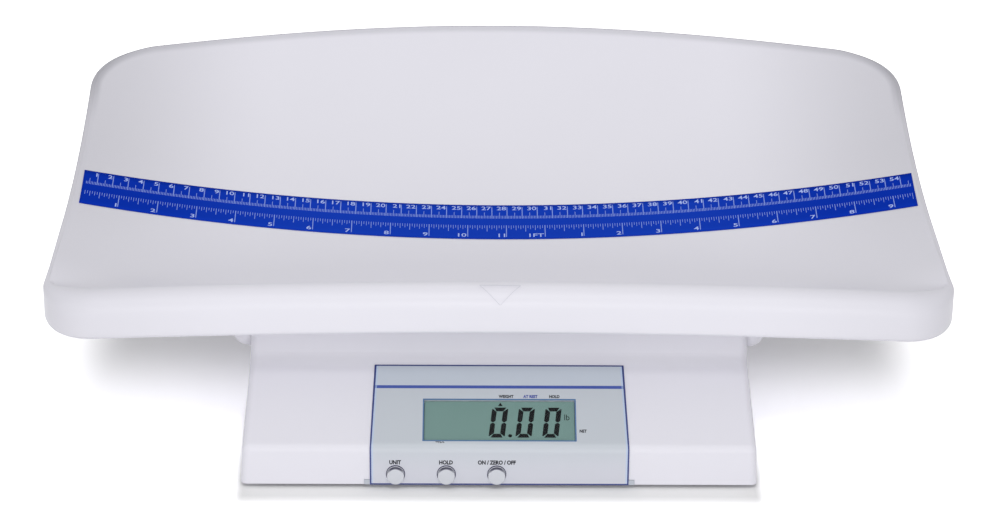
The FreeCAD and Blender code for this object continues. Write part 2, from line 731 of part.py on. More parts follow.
def make_bezel():
    strip = front_strip(-PANEL_SINK, BEZEL_PROUD, CASE_Z, PANEL_TOP, PANEL_HALF_LOW - 0.15,
                        PANEL_HALF_TOP - 0.15)
    for side in (-1, 1):
        a = side * (PANEL_HALF_LOW - 1)
        b = side * (PANEL_HALF_LOW + EAR_WIDTH - 0.15)
        ear = box(min(a, b), max(a, b), FRONT - BEZEL_PROUD, FRONT + PANEL_SINK, CASE_Z,
                  CASE_Z + EAR_HEIGHT - 0.15)
        strip = strip.fuse(ear)
    return button_holes(strip.cut(window_hole(0, -BASE_WALL, BASE_WALL)), BUTTON_CLEAR)


def make_overlay():
    outer = BEZEL_PROUD + OVERLAY_THICK
    strip = front_strip(BEZEL_PROUD, outer, CASE_Z, PANEL_TOP, PANEL_HALF_LOW - 0.15,
                        PANEL_HALF_TOP - 0.15)
    return button_holes(strip.cut(window_hole(0, -BASE_WALL, BASE_WALL)), BUTTON_CLEAR)


def make_window():
    pane = window_hole(-0.1, BEZEL_PROUD + OVERLAY_THICK - 0.1 - WINDOW_THICK,
                       BEZEL_PROUD + OVERLAY_THICK - 0.1)
    return pane


LCD_TOP_FACE = -(BASE_WALL + 1.0)


def make_lcd():
    """The display: a plate behind the wall, whose front fills the opening up to the window."""
    half = WINDOW_WIDTH / 2 + LCD_MARGIN
    plate = on_face(box(-half, half, WINDOW_LOW - LCD_MARGIN, WINDOW_TOP + LCD_MARGIN,
                        LCD_TOP_FACE - LCD_THICK, LCD_TOP_FACE))
    below_window = BEZEL_PROUD + OVERLAY_THICK - WINDOW_THICK - 0.4
    return plate.fuse(window_hole(-0.3, LCD_TOP_FACE, below_window))


def make_lcd_frame():
    """The holder that stands the display off its board and grips its edge."""
    half = WINDOW_WIDTH / 2 + LCD_MARGIN
    wall = LCD_FRAME_WALL
    low, top = WINDOW_LOW - LCD_MARGIN, WINDOW_TOP + LCD_MARGIN
    back = LCD_TOP_FACE - LCD_THICK
    holder = box(-half - wall, half + wall, low - wall / 2, top + wall, BOARD_FACE, LCD_TOP_FACE)
    seat = box(-half, half, low, top, back, LCD_TOP_FACE)
    well = box(-half + wall, half - wall, low + wall, top - wall, BOARD_FACE, back)
    return on_face(holder.cut(seat).cut(well))


def make_main_board():
    board = box(-BOARD_HALF_WIDTH, BOARD_HALF_WIDTH, BOARD_LOW, BOARD_TOP,
                BOARD_FACE - BOARD_THICK, BOARD_FACE)
    for x, v in board_screw_places():
        board = board.cut(Part.makeCylinder(SMALL_SCREW_R + BOLT_CLEAR, BOARD_THICK,
                                            vec(x, v, BOARD_FACE - BOARD_THICK)))
    return on_face(board)


def on_board(x, v, width, depth, height):
    """A block on the back of the main board."""
    back = BOARD_FACE - BOARD_THICK
    return box(x - width / 2, x + width / 2, v - depth / 2, v + depth / 2, back - height, back)


def make_board_parts():
    """Two chips, a crystal, two capacitors and two connectors on the back of the main board."""
    middle = (BOARD_LOW + BOARD_TOP) / 2
    parts = [on_board(-30, middle - 6, CHIP_SIZE, CHIP_SIZE, CHIP_HEIGHT),
             on_board(8, middle - 4, CHIP_SIZE * 0.7, CHIP_SIZE * 0.7, CHIP_HEIGHT),
             on_board(30, middle - 12, 5, 11, 2 * CHIP_HEIGHT),
             on_board(-PLUG_X, middle, PLUG_WIDTH, PLUG_DEPTH, PLUG_HEIGHT),
             on_board(PLUG_X, middle, PLUG_WIDTH, PLUG_DEPTH, PLUG_HEIGHT)]
    back = BOARD_FACE - BOARD_THICK
    for x in (-8, 20):
        can = Part.makeCylinder(CAN_R, CAN_HEIGHT, vec(x, BOARD_TOP - 2.5 * CAN_R, back - CAN_HEIGHT))
        parts.append(can)
    return on_face(group(parts))


def board_screw(x, v):
    """A small screw whose head sits on the back of the main board."""
    screw = screw_up(x, v, BOARD_FACE - BOARD_THICK, SMALL_HEAD_R, SMALL_HEAD, SMALL_SCREW_R,
                     SMALL_SCREW_LENGTH - 1)
    return on_face(screw)


def key_screw(x):
    screw = screw_up(x, 0, 0, SMALL_HEAD_R, SMALL_HEAD, SMALL_SCREW_R, SMALL_SCREW_LENGTH - 2.6)
    screw.rotate(vec(x, 0, 0), vec(1, 0, 0), 90)
    screw.translate(vec(0, KEY_BOARD_Y + BOARD_THICK, KEY_SCREW_Z))
    return screw


def make_board_screws():
    screws = [board_screw(x, v) for x, v in board_screw_places()]
    return group(screws + [key_screw(x) for x in key_screw_x()])


def make_key_board():
    board = box(BUTTON_X[0] - KEY_BOARD_MARGIN, BUTTON_X[-1] + KEY_BOARD_MARGIN, KEY_BOARD_Y,
                KEY_BOARD_Y + BOARD_THICK, KEY_BOARD_LOW, KEY_BOARD_TOP)
    for x in key_screw_x():
        board = board.cut(rod_y(x, KEY_SCREW_Z, KEY_BOARD_Y, KEY_BOARD_Y + BOARD_THICK,
                                SMALL_SCREW_R + BOLT_CLEAR))
    return board


def make_key_switches():
    """The switch bodies, each with a well for its plunger."""
    half = KEY_SWITCH_SIZE / 2
    switches = []
    for x in BUTTON_X:
        body = box(x - half, x + half, SWITCH_Y, KEY_BOARD_Y, BUTTON_Z - half, BUTTON_Z + half)
        depth = PLUNGER_HELD + 2 * BUTTON_TRAVEL
        switches.append(body.cut(rod_y(x, BUTTON_Z, SWITCH_Y, SWITCH_Y + depth,
                                       PLUNGER_R + PLUNGER_CLEAR)))
    return group(switches)


def make_plunger(x):
    """The switch's plunger, which stands against the button's back and moves with it."""
    return rod_y(x, BUTTON_Z, PLUNGER_Y, SWITCH_Y + PLUNGER_HELD, PLUNGER_R)


def make_button(x):
    """A domed cap with a flanged skirt behind the wall; the flange is cut level at the bottom."""
    tip = FRONT - BUTTONS_OUT
    cap = rod_y(x, BUTTON_Z, tip, PLUNGER_Y, BUTTON_R)
    cap = round_edges(cap, BUTTON_DOME, lambda e: all(abs(v.Point.y - tip) < EPS for v in e.Vertexes))
    cap = cap.fuse(rod_y(x, BUTTON_Z, FLANGE_Y, PLUNGER_Y, BUTTON_FLANGE_R))
    level = COVER_TOP + BUTTON_CLEAR * 2
    wide = 2 * BUTTON_FLANGE_R
    return cap.cut(box(x - wide, x + wide, FLANGE_Y, PLUNGER_Y + 1, 0, level))


# ---------------------------------------------------------------- weighing platform
def make_platform():
    """A shallow pan with rounded lower edges that carries the tray."""
    half = PLATFORM_WIDTH / 2
    wall = PLATFORM_WALL
    top = PLATFORM_Z + PLATFORM_HEIGHT
    outer = box(-half, half, PLATFORM_Y, PLATFORM_Y + PLATFORM_DEPTH, PLATFORM_Z, top)
    outer = round_edges(outer, PLATFORM_CORNER_R, upright)
    outer = round_edges(outer, PLATFORM_EDGE_R, in_plane_z(PLATFORM_Z))
    inner = box(-half + wall, half - wall, PLATFORM_Y + wall, PLATFORM_Y + PLATFORM_DEPTH - wall,
                PLATFORM_FLOOR, top)
    inner = round_edges(inner, PLATFORM_CORNER_R - wall, upright)
    inner = round_edges(inner, PLATFORM_EDGE_R - wall, in_plane_z(PLATFORM_FLOOR))
    pan = outer.cut(inner)
    for x, y in boss_places():
        pan = pan.cut(rod_z(x, y, 0, top, TRAY_SCREW_R + BOLT_CLEAR))
    for x in (CELL_BOLT_IN, CELL_BOLT_OUT):
        pan = pan.cut(rod_z(x, CELL_Y, 0, top, BOLT_R + BOLT_CLEAR))
    return pan


def make_carrier():
    plate = box(-CARRIER_WIDTH / 2, CARRIER_WIDTH / 2, CELL_Y - CARRIER_DEPTH / 2,
                CELL_Y + CARRIER_DEPTH / 2, PLATFORM_FLOOR, CARRIER_TOP)
    plate = round_edges(plate, CARRIER_CORNER_R, upright)
    for x in (CELL_BOLT_IN, CELL_BOLT_OUT):
        plate = plate.cut(rod_z(x, CELL_Y, 0, CARRIER_TOP, BOLT_R + BOLT_CLEAR))
    return plate


def make_tray_screws():
    return group([screw_up(x, y, PLATFORM_Z, TRAY_HEAD_R, TRAY_HEAD, TRAY_SCREW_R, TRAY_SCREW_LENGTH)
                  for x, y in boss_places()])


def spacer_box():
    return (CELL_MID - SPACER_LENGTH / 2, CELL_MID + SPACER_LENGTH / 2,
            CELL_Y - CELL_WIDTH / 2, CELL_Y + CELL_WIDTH / 2)


def make_upper_spacer():
    x0, x1, y0, y1 = spacer_box()
    block = round_edges(box(x0, x1, y0, y1, CELL_TOP, PLATFORM_Z), 2.0, upright)
    for x in (CELL_BOLT_IN, CELL_BOLT_OUT):
        block = block.cut(rod_z(x, CELL_Y, CELL_TOP, PLATFORM_Z, BOLT_R + BOLT_CLEAR))
    return block


def make_lower_spacer():
    x0, x1, y0, y1 = spacer_box()
    block = round_edges(box(-x1, -x0, y0, y1, SPACER_Z, CELL_Z), 2.0, upright)
    for x in (CELL_BOLT_IN, CELL_BOLT_OUT):
        block = block.cut(rod_z(-x, CELL_Y, SPACER_Z, CELL_Z, BOLT_R + BOLT_CLEAR))
    return block


def make_load_cell():
    """A single-point bar: two linked bores thin its middle, threaded holes at both ends."""
    half = CELL_LENGTH / 2
    y0, y1 = CELL_Y - CELL_WIDTH / 2, CELL_Y + CELL_WIDTH / 2
    bar = round_edges(box(-half, half, y0, y1, CELL_Z, CELL_TOP), 1.0, upright)
    mid = (CELL_Z + CELL_TOP) / 2
    for side in (-1, 1):
        bar = bar.cut(rod_y(side * CELL_HOLE_PITCH / 2, mid, y0, y1, CELL_HOLE_R))
        for x in (CELL_BOLT_IN, CELL_BOLT_OUT):
            bar = bar.cut(rod_z(side * x, CELL_Y, CELL_Z, CELL_TOP, BOLT_R))
    slot = CELL_HOLE_R / 2
    return bar.cut(box(-CELL_HOLE_PITCH / 2, CELL_HOLE_PITCH / 2, y0, y1, mid - slot, mid + slot))


def make_upper_bolts():
    length = CARRIER_TOP - CELL_TOP + BOLT_IN_CELL
    return group([screw_down(x, CELL_Y, CARRIER_TOP, BOLT_HEAD_R, BOLT_HEAD, BOLT_R, length)
                  for x in (CELL_BOLT_IN, CELL_BOLT_OUT)])


def make_lower_bolts():
    length = CELL_Z - CHASSIS_Z + BOLT_IN_CELL
    return group([screw_up(-x, CELL_Y, CHASSIS_Z, BOLT_HEAD_R, BOLT_HEAD, BOLT_R, length)
                  for x in (CELL_BOLT_IN, CELL_BOLT_OUT)])


def chassis_screw_places():
    x = CHASSIS_WIDTH / 2 - CHASSIS_INSET
    y = CHASSIS_DEPTH / 2 - CHASSIS_INSET
    return [(sx * x, CELL_Y + sy * y) for sx in (-1, 1) for sy in (-1, 1)]


def make_chassis():
    plate = box(-CHASSIS_WIDTH / 2, CHASSIS_WIDTH / 2, CELL_Y - CHASSIS_DEPTH / 2,
                CELL_Y + CHASSIS_DEPTH / 2, CHASSIS_Z, SPACER_Z)
    plate = round_edges(plate, CHASSIS_INSET / 2, upright)
    for x in (CELL_BOLT_IN, CELL_BOLT_OUT):
        plate = plate.cut(rod_z(-x, CELL_Y, 0, SPACER_Z, BOLT_R + BOLT_CLEAR))
    plate = plate.cut(rod_z(CELL_MID, CELL_Y, 0, SPACER_Z, BOLT_R))
    for x, y in chassis_screw_places():
        plate = plate.cut(rod_z(x, y, 0, SPACER_Z, SMALL_SCREW_R + BOLT_CLEAR))
    return plate


def make_chassis_screws():
    return group([screw_down(x, y, SPACER_Z, SMALL_HEAD_R, SMALL_HEAD, SMALL_SCREW_R,
                             SMALL_SCREW_LENGTH) for x, y in chassis_screw_places()])


def make_stop_screw():
    """The overload stop: a set screw that stands just under the cell's free end."""
    return rod_z(CELL_MID, CELL_Y, CHASSIS_Z, CELL_Z - STOP_GAP, BOLT_R)


def make_stop_nut():
    corners = []
    for k in range(6):
        angle = math.radians(60 * k)
        r = STOP_NUT_FLATS / 2 / math.cos(math.pi / 6)
        corners.append(vec(CELL_MID + r * math.cos(angle), CELL_Y + r * math.sin(angle), SPACER_Z))
    nut = Part.Face(Part.makePolygon(corners + [corners[0]])).extrude(vec(0, 0, STOP_NUT))
    return nut.cut(rod_z(CELL_MID, CELL_Y, SPACER_Z, CELL_Z, BOLT_R))


# ---------------------------------------------------------------- battery bay and power
def bay_top():
    return COVER_TOP + 2 * CELL_R + 2 * BAY_CLEAR


def make_battery_box():
    """The bay's walls and ceiling, open below to the door."""
    x0, x1, y0, y1 = bay_box()
    wall = BAY_WALL
    shell = box(x0 - wall, x1 + wall, y0 - wall, y1 + wall, COVER_TOP, bay_top() + wall)
    shell = shell.cut(box(x0, x1, y0, y1, COVER_TOP, bay_top()))
    return shell


def battery_x(k):
    return BAY_X + (2 * k - BATTERIES + 1) * CELL_R


def battery_z():
    return COVER_TOP + CELL_R + BAY_CLEAR / 2


def make_batteries():
    _, _, y0, _ = bay_box()
    tip = 1.2
    cells = []
    for k in range(BATTERIES):
        start = y0 + CONTACT_SPACE
        body = rod_y(battery_x(k), battery_z(), start + tip, start + CELL_LEN - tip, CELL_R - 0.1)
        up = k % 2
        a = start + CELL_LEN - tip if up else start
        nub = rod_y(battery_x(k), battery_z(), a, a + tip, CELL_R * 0.38)
        b = start if up else start + CELL_LEN - tip
        base = rod_y(battery_x(k), battery_z(), b, b + tip, CELL_R * 0.8)
        cells.append(body.fuse(nub).fuse(base))
    return group(cells)


def make_contacts():
    """Flat plates on the bay's end walls, each with a sprung stud that meets its battery."""
    _, _, y0, y1 = bay_box()
    half = CELL_R * 0.75
    plates = []
    for k in range(BATTERIES):
        x, z = battery_x(k), battery_z()
        front = box(x - half, x + half, y0, y0 + CONTACT_THICK, z - half, z + half)
        front = front.fuse(rod_y(x, z, y0 + CONTACT_THICK, y0 + CONTACT_SPACE, CELL_R * 0.3))
        rear = box(x - half, x + half, y1 - CONTACT_THICK, y1, z - half, z + half)
        rear = rear.fuse(rod_y(x, z, y1 - CONTACT_SPACE, y1 - CONTACT_THICK, CELL_R * 0.3))
        plates += [front, rear]
    return group(plates)


def make_battery_door():
    """A flat door that slides out under the rear wall, held by tongues in the cover's grooves."""
    x0, x1, y0, _ = bay_box()
    clear = DOOR_CLEAR
    rear = REAR - clear
    plate = box(x0 + clear, x1 - clear, y0 + clear, rear, CASE_Z, CASE_Z + DOOR_THICK)
    tongue_z = CASE_Z + (DOOR_THICK - TONGUE_THICK) / 2
    tongue = box(x0 + clear - TONGUE + clear, x1 - clear + TONGUE - clear, y0 - TONGUE + clear,
                 rear - BASE_WALL, tongue_z, tongue_z + TONGUE_THICK)
    door = plate.fuse(tongue)
    for k in range(5):
        y = rear - 8 - 3 * k
        door = door.cut(box(BAY_X - 10, BAY_X + 10, y, y + 1.2, CASE_Z, CASE_Z + 0.6))
    return door


def make_jack():
    """The round power inlet, flush with the rear wall."""
    half, tall = JACK_WIDTH / 2, JACK_HEIGHT / 2
    body = box(JACK_X - half, JACK_X + half, REAR - JACK_DEPTH, REAR, JACK_Z - tall, JACK_Z + tall)
    inner = REAR - BASE_WALL - 0.1
    flange = box(JACK_X - half - JACK_FLANGE, JACK_X + half + JACK_FLANGE, inner - JACK_FLANGE, inner,
                 JACK_Z - tall - JACK_FLANGE, JACK_Z + tall + JACK_FLANGE)
    body = body.fuse(flange).cut(rod_y(JACK_X, JACK_Z, REAR - 10, REAR, JACK_R))
    return body.fuse(rod_y(JACK_X, JACK_Z, REAR - 10, REAR - 1.5, JACK_PIN_R))


# ---------------------------------------------------------------- load cell lead
def bent_tube(points, radius):
    """A tube along straight runs joined by tangent arcs, each as large as its two runs allow."""
    edges = []
    start = points[0]
    for before, corner, after in zip(points, points[1:], points[2:]):
        a = (before - corner)
        b = (after - corner)
        turn = math.pi - a.getAngle(b)
        trim = 0.45 * min(a.Length, b.Length)
        a.normalize()
        b.normalize()
        p, q = corner + a * trim, corner + b * trim
        bend = trim / math.tan(turn / 2)
        toward = a + b
        toward.normalize()
        mid = corner + toward * (bend / math.cos(turn / 2) - bend)
        edges.append(Part.LineSegment(start, p).toShape())
        edges.append(Part.Arc(p, mid, q).toShape())
        start = q
    edges.append(Part.LineSegment(start, points[-1]).toShape())
    path = Part.Wire(edges)
    direction = points[1] - points[0]
    ring = Part.Wire(Part.makeCircle(radius, points[0], direction))
    return path.makePipeShell([ring], True, True)


def make_lead():
    """The load cell's lead, from the fixed end of the bar to the main board's connector."""
    start = vec(-CELL_LENGTH / 2, CELL_Y, (CELL_Z + CELL_TOP) / 2)
    behind = BOARD_FACE - BOARD_THICK - PLUG_HEIGHT
    level = (BOARD_LOW + BOARD_TOP) / 2
    plug = on_face(Part.Vertex(vec(PLUG_X, level, behind))).Point
    drop = on_face(Part.Vertex(vec(PLUG_X, level, behind - LEAD_DROP))).Point
    out = start + vec(-LEAD_OUT, 0, 0)
    turn = vec(out.x + LEAD_OUT / 4, (out.y + drop.y) / 2 - LEAD_DROP, drop.z)
    return bent_tube([start, out, turn, drop, plug], LEAD_R)


# ---------------------------------------------------------------- all the pieces
def pieces():
    made = {
        "tray": make_tray(),
        "ruler_tape": make_tape(),
        "weighing_platform": make_platform(),
        "carrier_plate": make_carrier(),
        "tray_screws": make_tray_screws(),
        "upper_spacer": make_upper_spacer(),
        "upper_bolts": make_upper_bolts(),
        "load_cell": make_load_cell(),
        "lower_spacer": make_lower_spacer(),
        "lower_bolts": make_lower_bolts(),
        "overload_stop_screw": make_stop_screw(),
        "overload_stop_nut": make_stop_nut(),
        "chassis_plate": make_chassis(),
        "chassis_screws": make_chassis_screws(),
        "load_cell_lead": make_lead(),
        "upper_housing": make_housing(),
        "bottom_cover": make_cover(),
        "housing_screws": make_case_screws(),
        "rubber_feet": make_feet(),
        "display_bezel": make_bezel(),
        "display_overlay": make_overlay(),
        "display_window": make_window(),
        "lcd_glass": make_lcd(),
        "lcd_holder": make_lcd_frame(),
        "main_board": make_main_board(),
        "board_components": make_board_parts(),
        "board_screws": make_board_screws(),
        "key_board": make_key_board(),
        "key_switches": make_key_switches(),
        "battery_box": make_battery_box(),
        "batteries": make_batteries(),
        "battery_contacts": make_contacts(),
        "battery_door": make_battery_door(),
        "power_inlet": make_jack(),
    }
    for name, x in zip(BUTTON_NAMES, BUTTON_X):
        made[name + "_button"] = make_button(x)
        made[name + "_plunger"] = make_plunger(x)
    return made


os.makedirs("parts", exist_ok=True)
for node, shape in pieces().items():
    solids = shape.Solids
    print(node, len(solids), round(sum(s.Volume for s in solids), 1), shape.isValid())
    shape.exportStep(os.path.join("parts", node + ".step"))
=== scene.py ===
"""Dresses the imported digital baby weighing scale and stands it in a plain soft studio.

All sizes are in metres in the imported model's frame: +X to the right, the display faces -Y, +Z up.
"""

import functools
import json
import logging
import math
import operator
from dataclasses import dataclass, field
from enum import Enum
from typing import Any, Callable, ClassVar

import bmesh
import bpy
import numpy as np
from mathutils import Matrix, Vector


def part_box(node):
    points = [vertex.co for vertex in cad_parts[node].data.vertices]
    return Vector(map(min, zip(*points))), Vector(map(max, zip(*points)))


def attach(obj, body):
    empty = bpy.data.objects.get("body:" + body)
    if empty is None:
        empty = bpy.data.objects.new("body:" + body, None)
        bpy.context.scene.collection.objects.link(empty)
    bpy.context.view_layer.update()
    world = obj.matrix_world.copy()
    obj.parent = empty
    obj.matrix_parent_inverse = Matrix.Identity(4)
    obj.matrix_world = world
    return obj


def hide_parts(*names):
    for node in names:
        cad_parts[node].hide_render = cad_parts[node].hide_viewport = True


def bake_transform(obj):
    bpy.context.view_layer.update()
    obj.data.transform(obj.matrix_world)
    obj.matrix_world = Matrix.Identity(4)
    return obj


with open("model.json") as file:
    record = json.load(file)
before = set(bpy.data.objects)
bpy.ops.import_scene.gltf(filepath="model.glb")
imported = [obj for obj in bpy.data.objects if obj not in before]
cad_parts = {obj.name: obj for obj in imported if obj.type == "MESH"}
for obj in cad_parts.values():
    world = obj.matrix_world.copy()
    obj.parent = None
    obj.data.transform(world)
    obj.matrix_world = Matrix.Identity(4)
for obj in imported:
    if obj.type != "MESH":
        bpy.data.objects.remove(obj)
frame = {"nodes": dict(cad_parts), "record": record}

Pair = tuple[float, float]
Triple = tuple[float, float, float]
Colour = Triple
Material = bpy.types.Material
Piece = bpy.types.Object
Shape = tuple[np.ndarray, list[Any]]

LOG = logging.getLogger("baby_scale")
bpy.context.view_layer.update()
DECK = "weighing_deck"
CM_IN_INCH = 2.54
# The white plastic's colour, and the moulded plastics' specular level.
WHITE, GLOSS = (0.80, 0.790, 0.858), 0.25
# The copper band's share of a battery's length.
BAND_SHARE = 0.3
# How far ink stands off a surface, and a capital's height as a share of the type's size.
INK_LIFT, CAPITAL = 0.00004, 0.70
# A copied mesh's points are merged within this distance, and its edges are sharp from this angle.
MERGE_DISTANCE, SHARP_ANGLE = 0.000005, math.radians(35)


class Ink(Enum):
    """The inks that the panel, the ruler and the display are printed with, and SHADE, the colour of
    painted shade.
    """

    RULER = (0.40, 0.50, 0.90)
    BLACK = (0.012, 0.012, 0.018)
    BLUE = (0.030, 0.050, 0.300)
    SEGMENT = (0.003, 0.004, 0.005)
    # painted shade, for the buttons' recesses and the upper edges of their caps
    SHADE = (0.030, 0.028, 0.075)
    MARK = (0.58, 0.58, 0.64)


# ------------------------------------------------------------------ small maths
def smooth_step(t: np.ndarray) -> np.ndarray:
    """Return 3t^2 - 2t^3 with t held between 0 and 1, a step with level ends."""
    t = np.clip(t, 0.0, 1.0)
    return t * t * (3 - 2 * t)


def smooth_max(a: np.ndarray, b: np.ndarray, soft: float) -> np.ndarray:
    """Return half of a + b + sqrt((a - b)^2 + soft^2), a maximum with a rounded corner."""
    return 0.5 * (a + b + np.sqrt((a - b) ** 2 + soft * soft))


def scaled(colour: Colour, share: float, lift: float = 0.0) -> Colour:
    """Return a colour times a share, plus a lift, held below 1."""
    return tuple(min(c * share + lift, 1.0) for c in colour)


def round_turn(count: int, start: float = 0.0, sweep: float = 2 * math.pi) -> np.ndarray:
    """Return unit vectors (cos a, sin a) round a circle, or a part of it."""
    angle = np.linspace(0, sweep, count, endpoint=False) + start
    return np.stack([np.cos(angle), np.sin(angle)], -1)


# ------------------------------------------------------------------ shader expressions
def math_method(operation: str, reflected: bool = False) -> Callable[..., "Wire"]:
    """Make a method that adds one Math node.

    Args:
        operation: the Math node's operation.
        reflected: True where the wire is the second value, as in 1 - mask.

    Returns:
        The method.
    """

    def method(self: "Wire", other: Any = None) -> "Wire":
        """Do the operation on this wire.

        Args:
            other: a number or a wire, where the operation takes two values.

        Returns:
            The node's value.
        """
        pair = (other, self) if reflected else (self, other)
        values = {i: v for i, v in enumerate(pair) if v is not None}
        return self.paint.node("Math", values, operation=operation)

    return method


@dataclass
class Wire:
    """A shader socket that takes part in Python expressions: each operator adds a Math node."""

    paint: "Paint"
    socket: Any

    __add__ = __radd__ = math_method("ADD")
    __mul__ = __rmul__ = math_method("MULTIPLY")
    __sub__, __rsub__ = math_method("SUBTRACT"), math_method("SUBTRACT", True)
    __truediv__ = math_method("DIVIDE")
    __lt__, __gt__ = math_method("LESS_THAN"), math_method("GREATER_THAN")
    __or__, __abs__ = math_method("MAXIMUM"), math_method("ABSOLUTE")
    fraction, root = math_method("FRACT"), math_method("SQRT")

    def out(self, key: Any) -> "Wire":
        """Return another output of the same node, by name or number."""
        return Wire(self.paint, self.socket.node.outputs[key])

    def between(self, low: float, high: float) -> "Wire":
        """Return 1 where self lies between two numbers."""
        return (self > low) * (self < high)

    def near_whole(self) -> "Wire":
        """Return the distance from self to the nearest whole number."""
        return abs((self + 0.5).fraction() - 0.5)


class Paint:
    """The nodes of one material, or of the world, under construction."""

    def __init__(self, block: Any) -> None:
        """Empty the nodes of a material or a world.

        Args:
            block: the material or world.
        """
        block.use_nodes = True
        self.block = block
        self.tree = block.node_tree
        self.tree.nodes.clear()

    def node(self, kind: str, values: dict[Any, Any] | None = None, **settings: Any) -> Wire:
        """Add a node.

        Args:
            kind: the node's type, without ShaderNode.
            values: numbers, colours or wires for its input sockets, by name or number.
            **settings: its settings, which are set before its sockets.

        Returns:
            Its first output, if it has one.
        """
        made = self.tree.nodes.new(f"ShaderNode{kind}")
        for key, value in settings.items():
            setattr(made, key, value)
        for key, value in (values or {}).items():
            if isinstance(value, Wire):
                self.tree.links.new(value.socket, made.inputs[key])
            else:
                made.inputs[key].default_value = value
        return Wire(self, made.outputs[0] if len(made.outputs) else None)

    def where(self) -> Wire:
        """Return the surface's own place as one vector."""
        return self.node("TexCoord").out("Object")

    def place(self) -> tuple[Wire, Wire, Wire]:
        """Return the surface's own x, y and z, in metres."""
        parts = self.node("SeparateXYZ", {0: self.where()})
        return parts.out("X"), parts.out("Y"), parts.out("Z")

    def noise(self, scale: float, detail: float = 2.0, rough: float = 0.5) -> Wire:
        """Return cloudy noise from 0 to 1.

        Args:
            scale: how many lumps there are in a metre.
            detail: how many finer layers it has.
            rough: how strong the finer layers are.

        Returns:
            The noise's value.
        """
        values = {"Vector": self.where(), "Scale": scale, "Detail": detail, "Roughness": rough}
        return self.node("TexNoise", values).out("Fac")

    def mix(self, factor: Any, first: Any, second: Any) -> Wire:
        """Return a mix of two colours or wires, with a factor's share of the second."""
        colours = [c if isinstance(c, Wire) else (*c, 1.0) for c in (first, second)]
        return self.node("Mix", {0: factor, 6: colours[0], 7: colours[1]}, data_type="RGBA").out(2)

    def ease(self, value: Wire, low: float, high: float, kind: str = "SMOOTHSTEP") -> Wire:
        """Return a smooth or straight step of a value, 0 below the low end and 1 above the high."""
        limits = {0: value, 1: low, 2: high, 3: 0.0, 4: 1.0}
        return self.node("MapRange", limits, interpolation_type=kind)

    def bump(self, height: Wire, depth: float) -> Wire:
        """Return a normal bumped by a height from 0 to 1, which stands for a depth in metres."""
        return self.node("Bump", {"Height": height, "Distance": depth}).out("Normal")

    def close(self, kind: str, values: dict[str, Any], output: str = "Material") -> Any:
        """Close the nodes with a shader and an output.

        Args:
            kind: the shader's type.
            values: numbers, colours or wires for its sockets.
            output: what the output node is for.

        Returns:
            The material or the world.
        """
        full = {k: (*v, 1.0) if isinstance(v, tuple) else v for k, v in values.items()}
        self.node(f"Output{output}", {"Surface": self.node(kind, full)})
        return self.block


# ------------------------------------------------------------------ finishes
@dataclass(frozen=True)
class Finish:
    """A named finish, which is built as one material.

    Its texture is a noise with so many lumps in a metre, so many finer layers and their strength.
    The roughness runs between two values as the texture does, and it may raise a bump.
    """

    name: str
    scale: ClassVar[float] = 1400.0
    layers: ClassVar[Pair] = (2.0, 0.5)
    rough: ClassVar[Pair] = (0.40, 0.46)
    depth: ClassVar[float] = 0.00003

    def build(self) -> Material:
        """Return the material."""
        paint = Paint(bpy.data.materials.new(self.name))
        return paint.close("BsdfPrincipled", self.look(paint))

    def textured(self, paint: Paint) -> tuple[Wire, dict[str, Any]]:
        """Make the texture.

        Args:
            paint: the material being built.

        Returns:
            The texture, from 0 to 1, and the values of the sockets that it changes.
        """
        texture = paint.noise(self.scale, *self.layers)
        values = {"Roughness": self.rough[0] + texture * (self.rough[1] - self.rough[0])}
        if self.depth:
            values["Normal"] = paint.bump(texture, self.depth)
        return texture, values

    def look(self, paint: Paint) -> dict[str, Any]:
        """Return the values of the shader's sockets."""
        raise NotImplementedError(self.name)


@dataclass(frozen=True)
class MouldedPlastic(Finish):
    """Injection moulded plastic: faint flow clouds and a fine spark-eroded grain."""

    colour: Colour
    roughness: float = 0.45
    cloud_scale: float = 9.0
    cloud_change: float = 0.10
    grain_change: float = 0.06
    dark: float = 0.97

    def moulded(self, paint: Paint) -> tuple[Wire, dict[str, Any]]:
        """Make what moulded surfaces share.

        Args:
            paint: the material being built.

        Returns:
            The flow clouds, and the values of the shader's sockets.
        """
        flow, fine = paint.noise(self.cloud_scale, 3.0), paint.noise(self.scale)
        rough = self.roughness + (flow - 0.5) * self.cloud_change + (fine - 0.5) * self.grain_change
        return flow, {"Roughness": rough, "Specular IOR Level": GLOSS,
                      "Normal": paint.bump(fine, self.depth)}

    def look(self, paint: Paint) -> dict[str, Any]:
        """Return the shader's values: the clouds darken the colour a little."""
        flow, values = self.moulded(paint)
        return {"Base Color": paint.mix(flow, scaled(self.colour, self.dark), self.colour), **values}


@dataclass(frozen=True)
class ButtonPlastic(Finish):
    """A button's moulded plastic, with painted shade on its upper edge, where its recess shades it."""

    middle: Pair
    radius: float
    colour: Colour = (0.60, 0.615, 0.665)
    edge_from: Pair = (0.62, 0.86)
    upper_from: Pair = (0.30, 0.85)
    depth = 0.00002

    def look(self, paint: Paint) -> dict[str, Any]:
        """Let the painted shade on the edge grow with the squared distance from the middle.

        Args:
            paint: the material being built.

        Returns:
            The values of the shader's sockets.
        """
        x, _, z = paint.place()
        right, up = (x - self.middle[0]) / self.radius, (z - self.middle[1]) / self.radius
        # painted shade: the cap's upper edge darkens to the SHADE colour
        edge = paint.ease(right * right + up * up, *self.edge_from) * paint.ease(up, *self.upper_from)
        return {"Base Color": paint.mix(edge, self.colour, Ink.SHADE.value), **self.textured(paint)[1]}


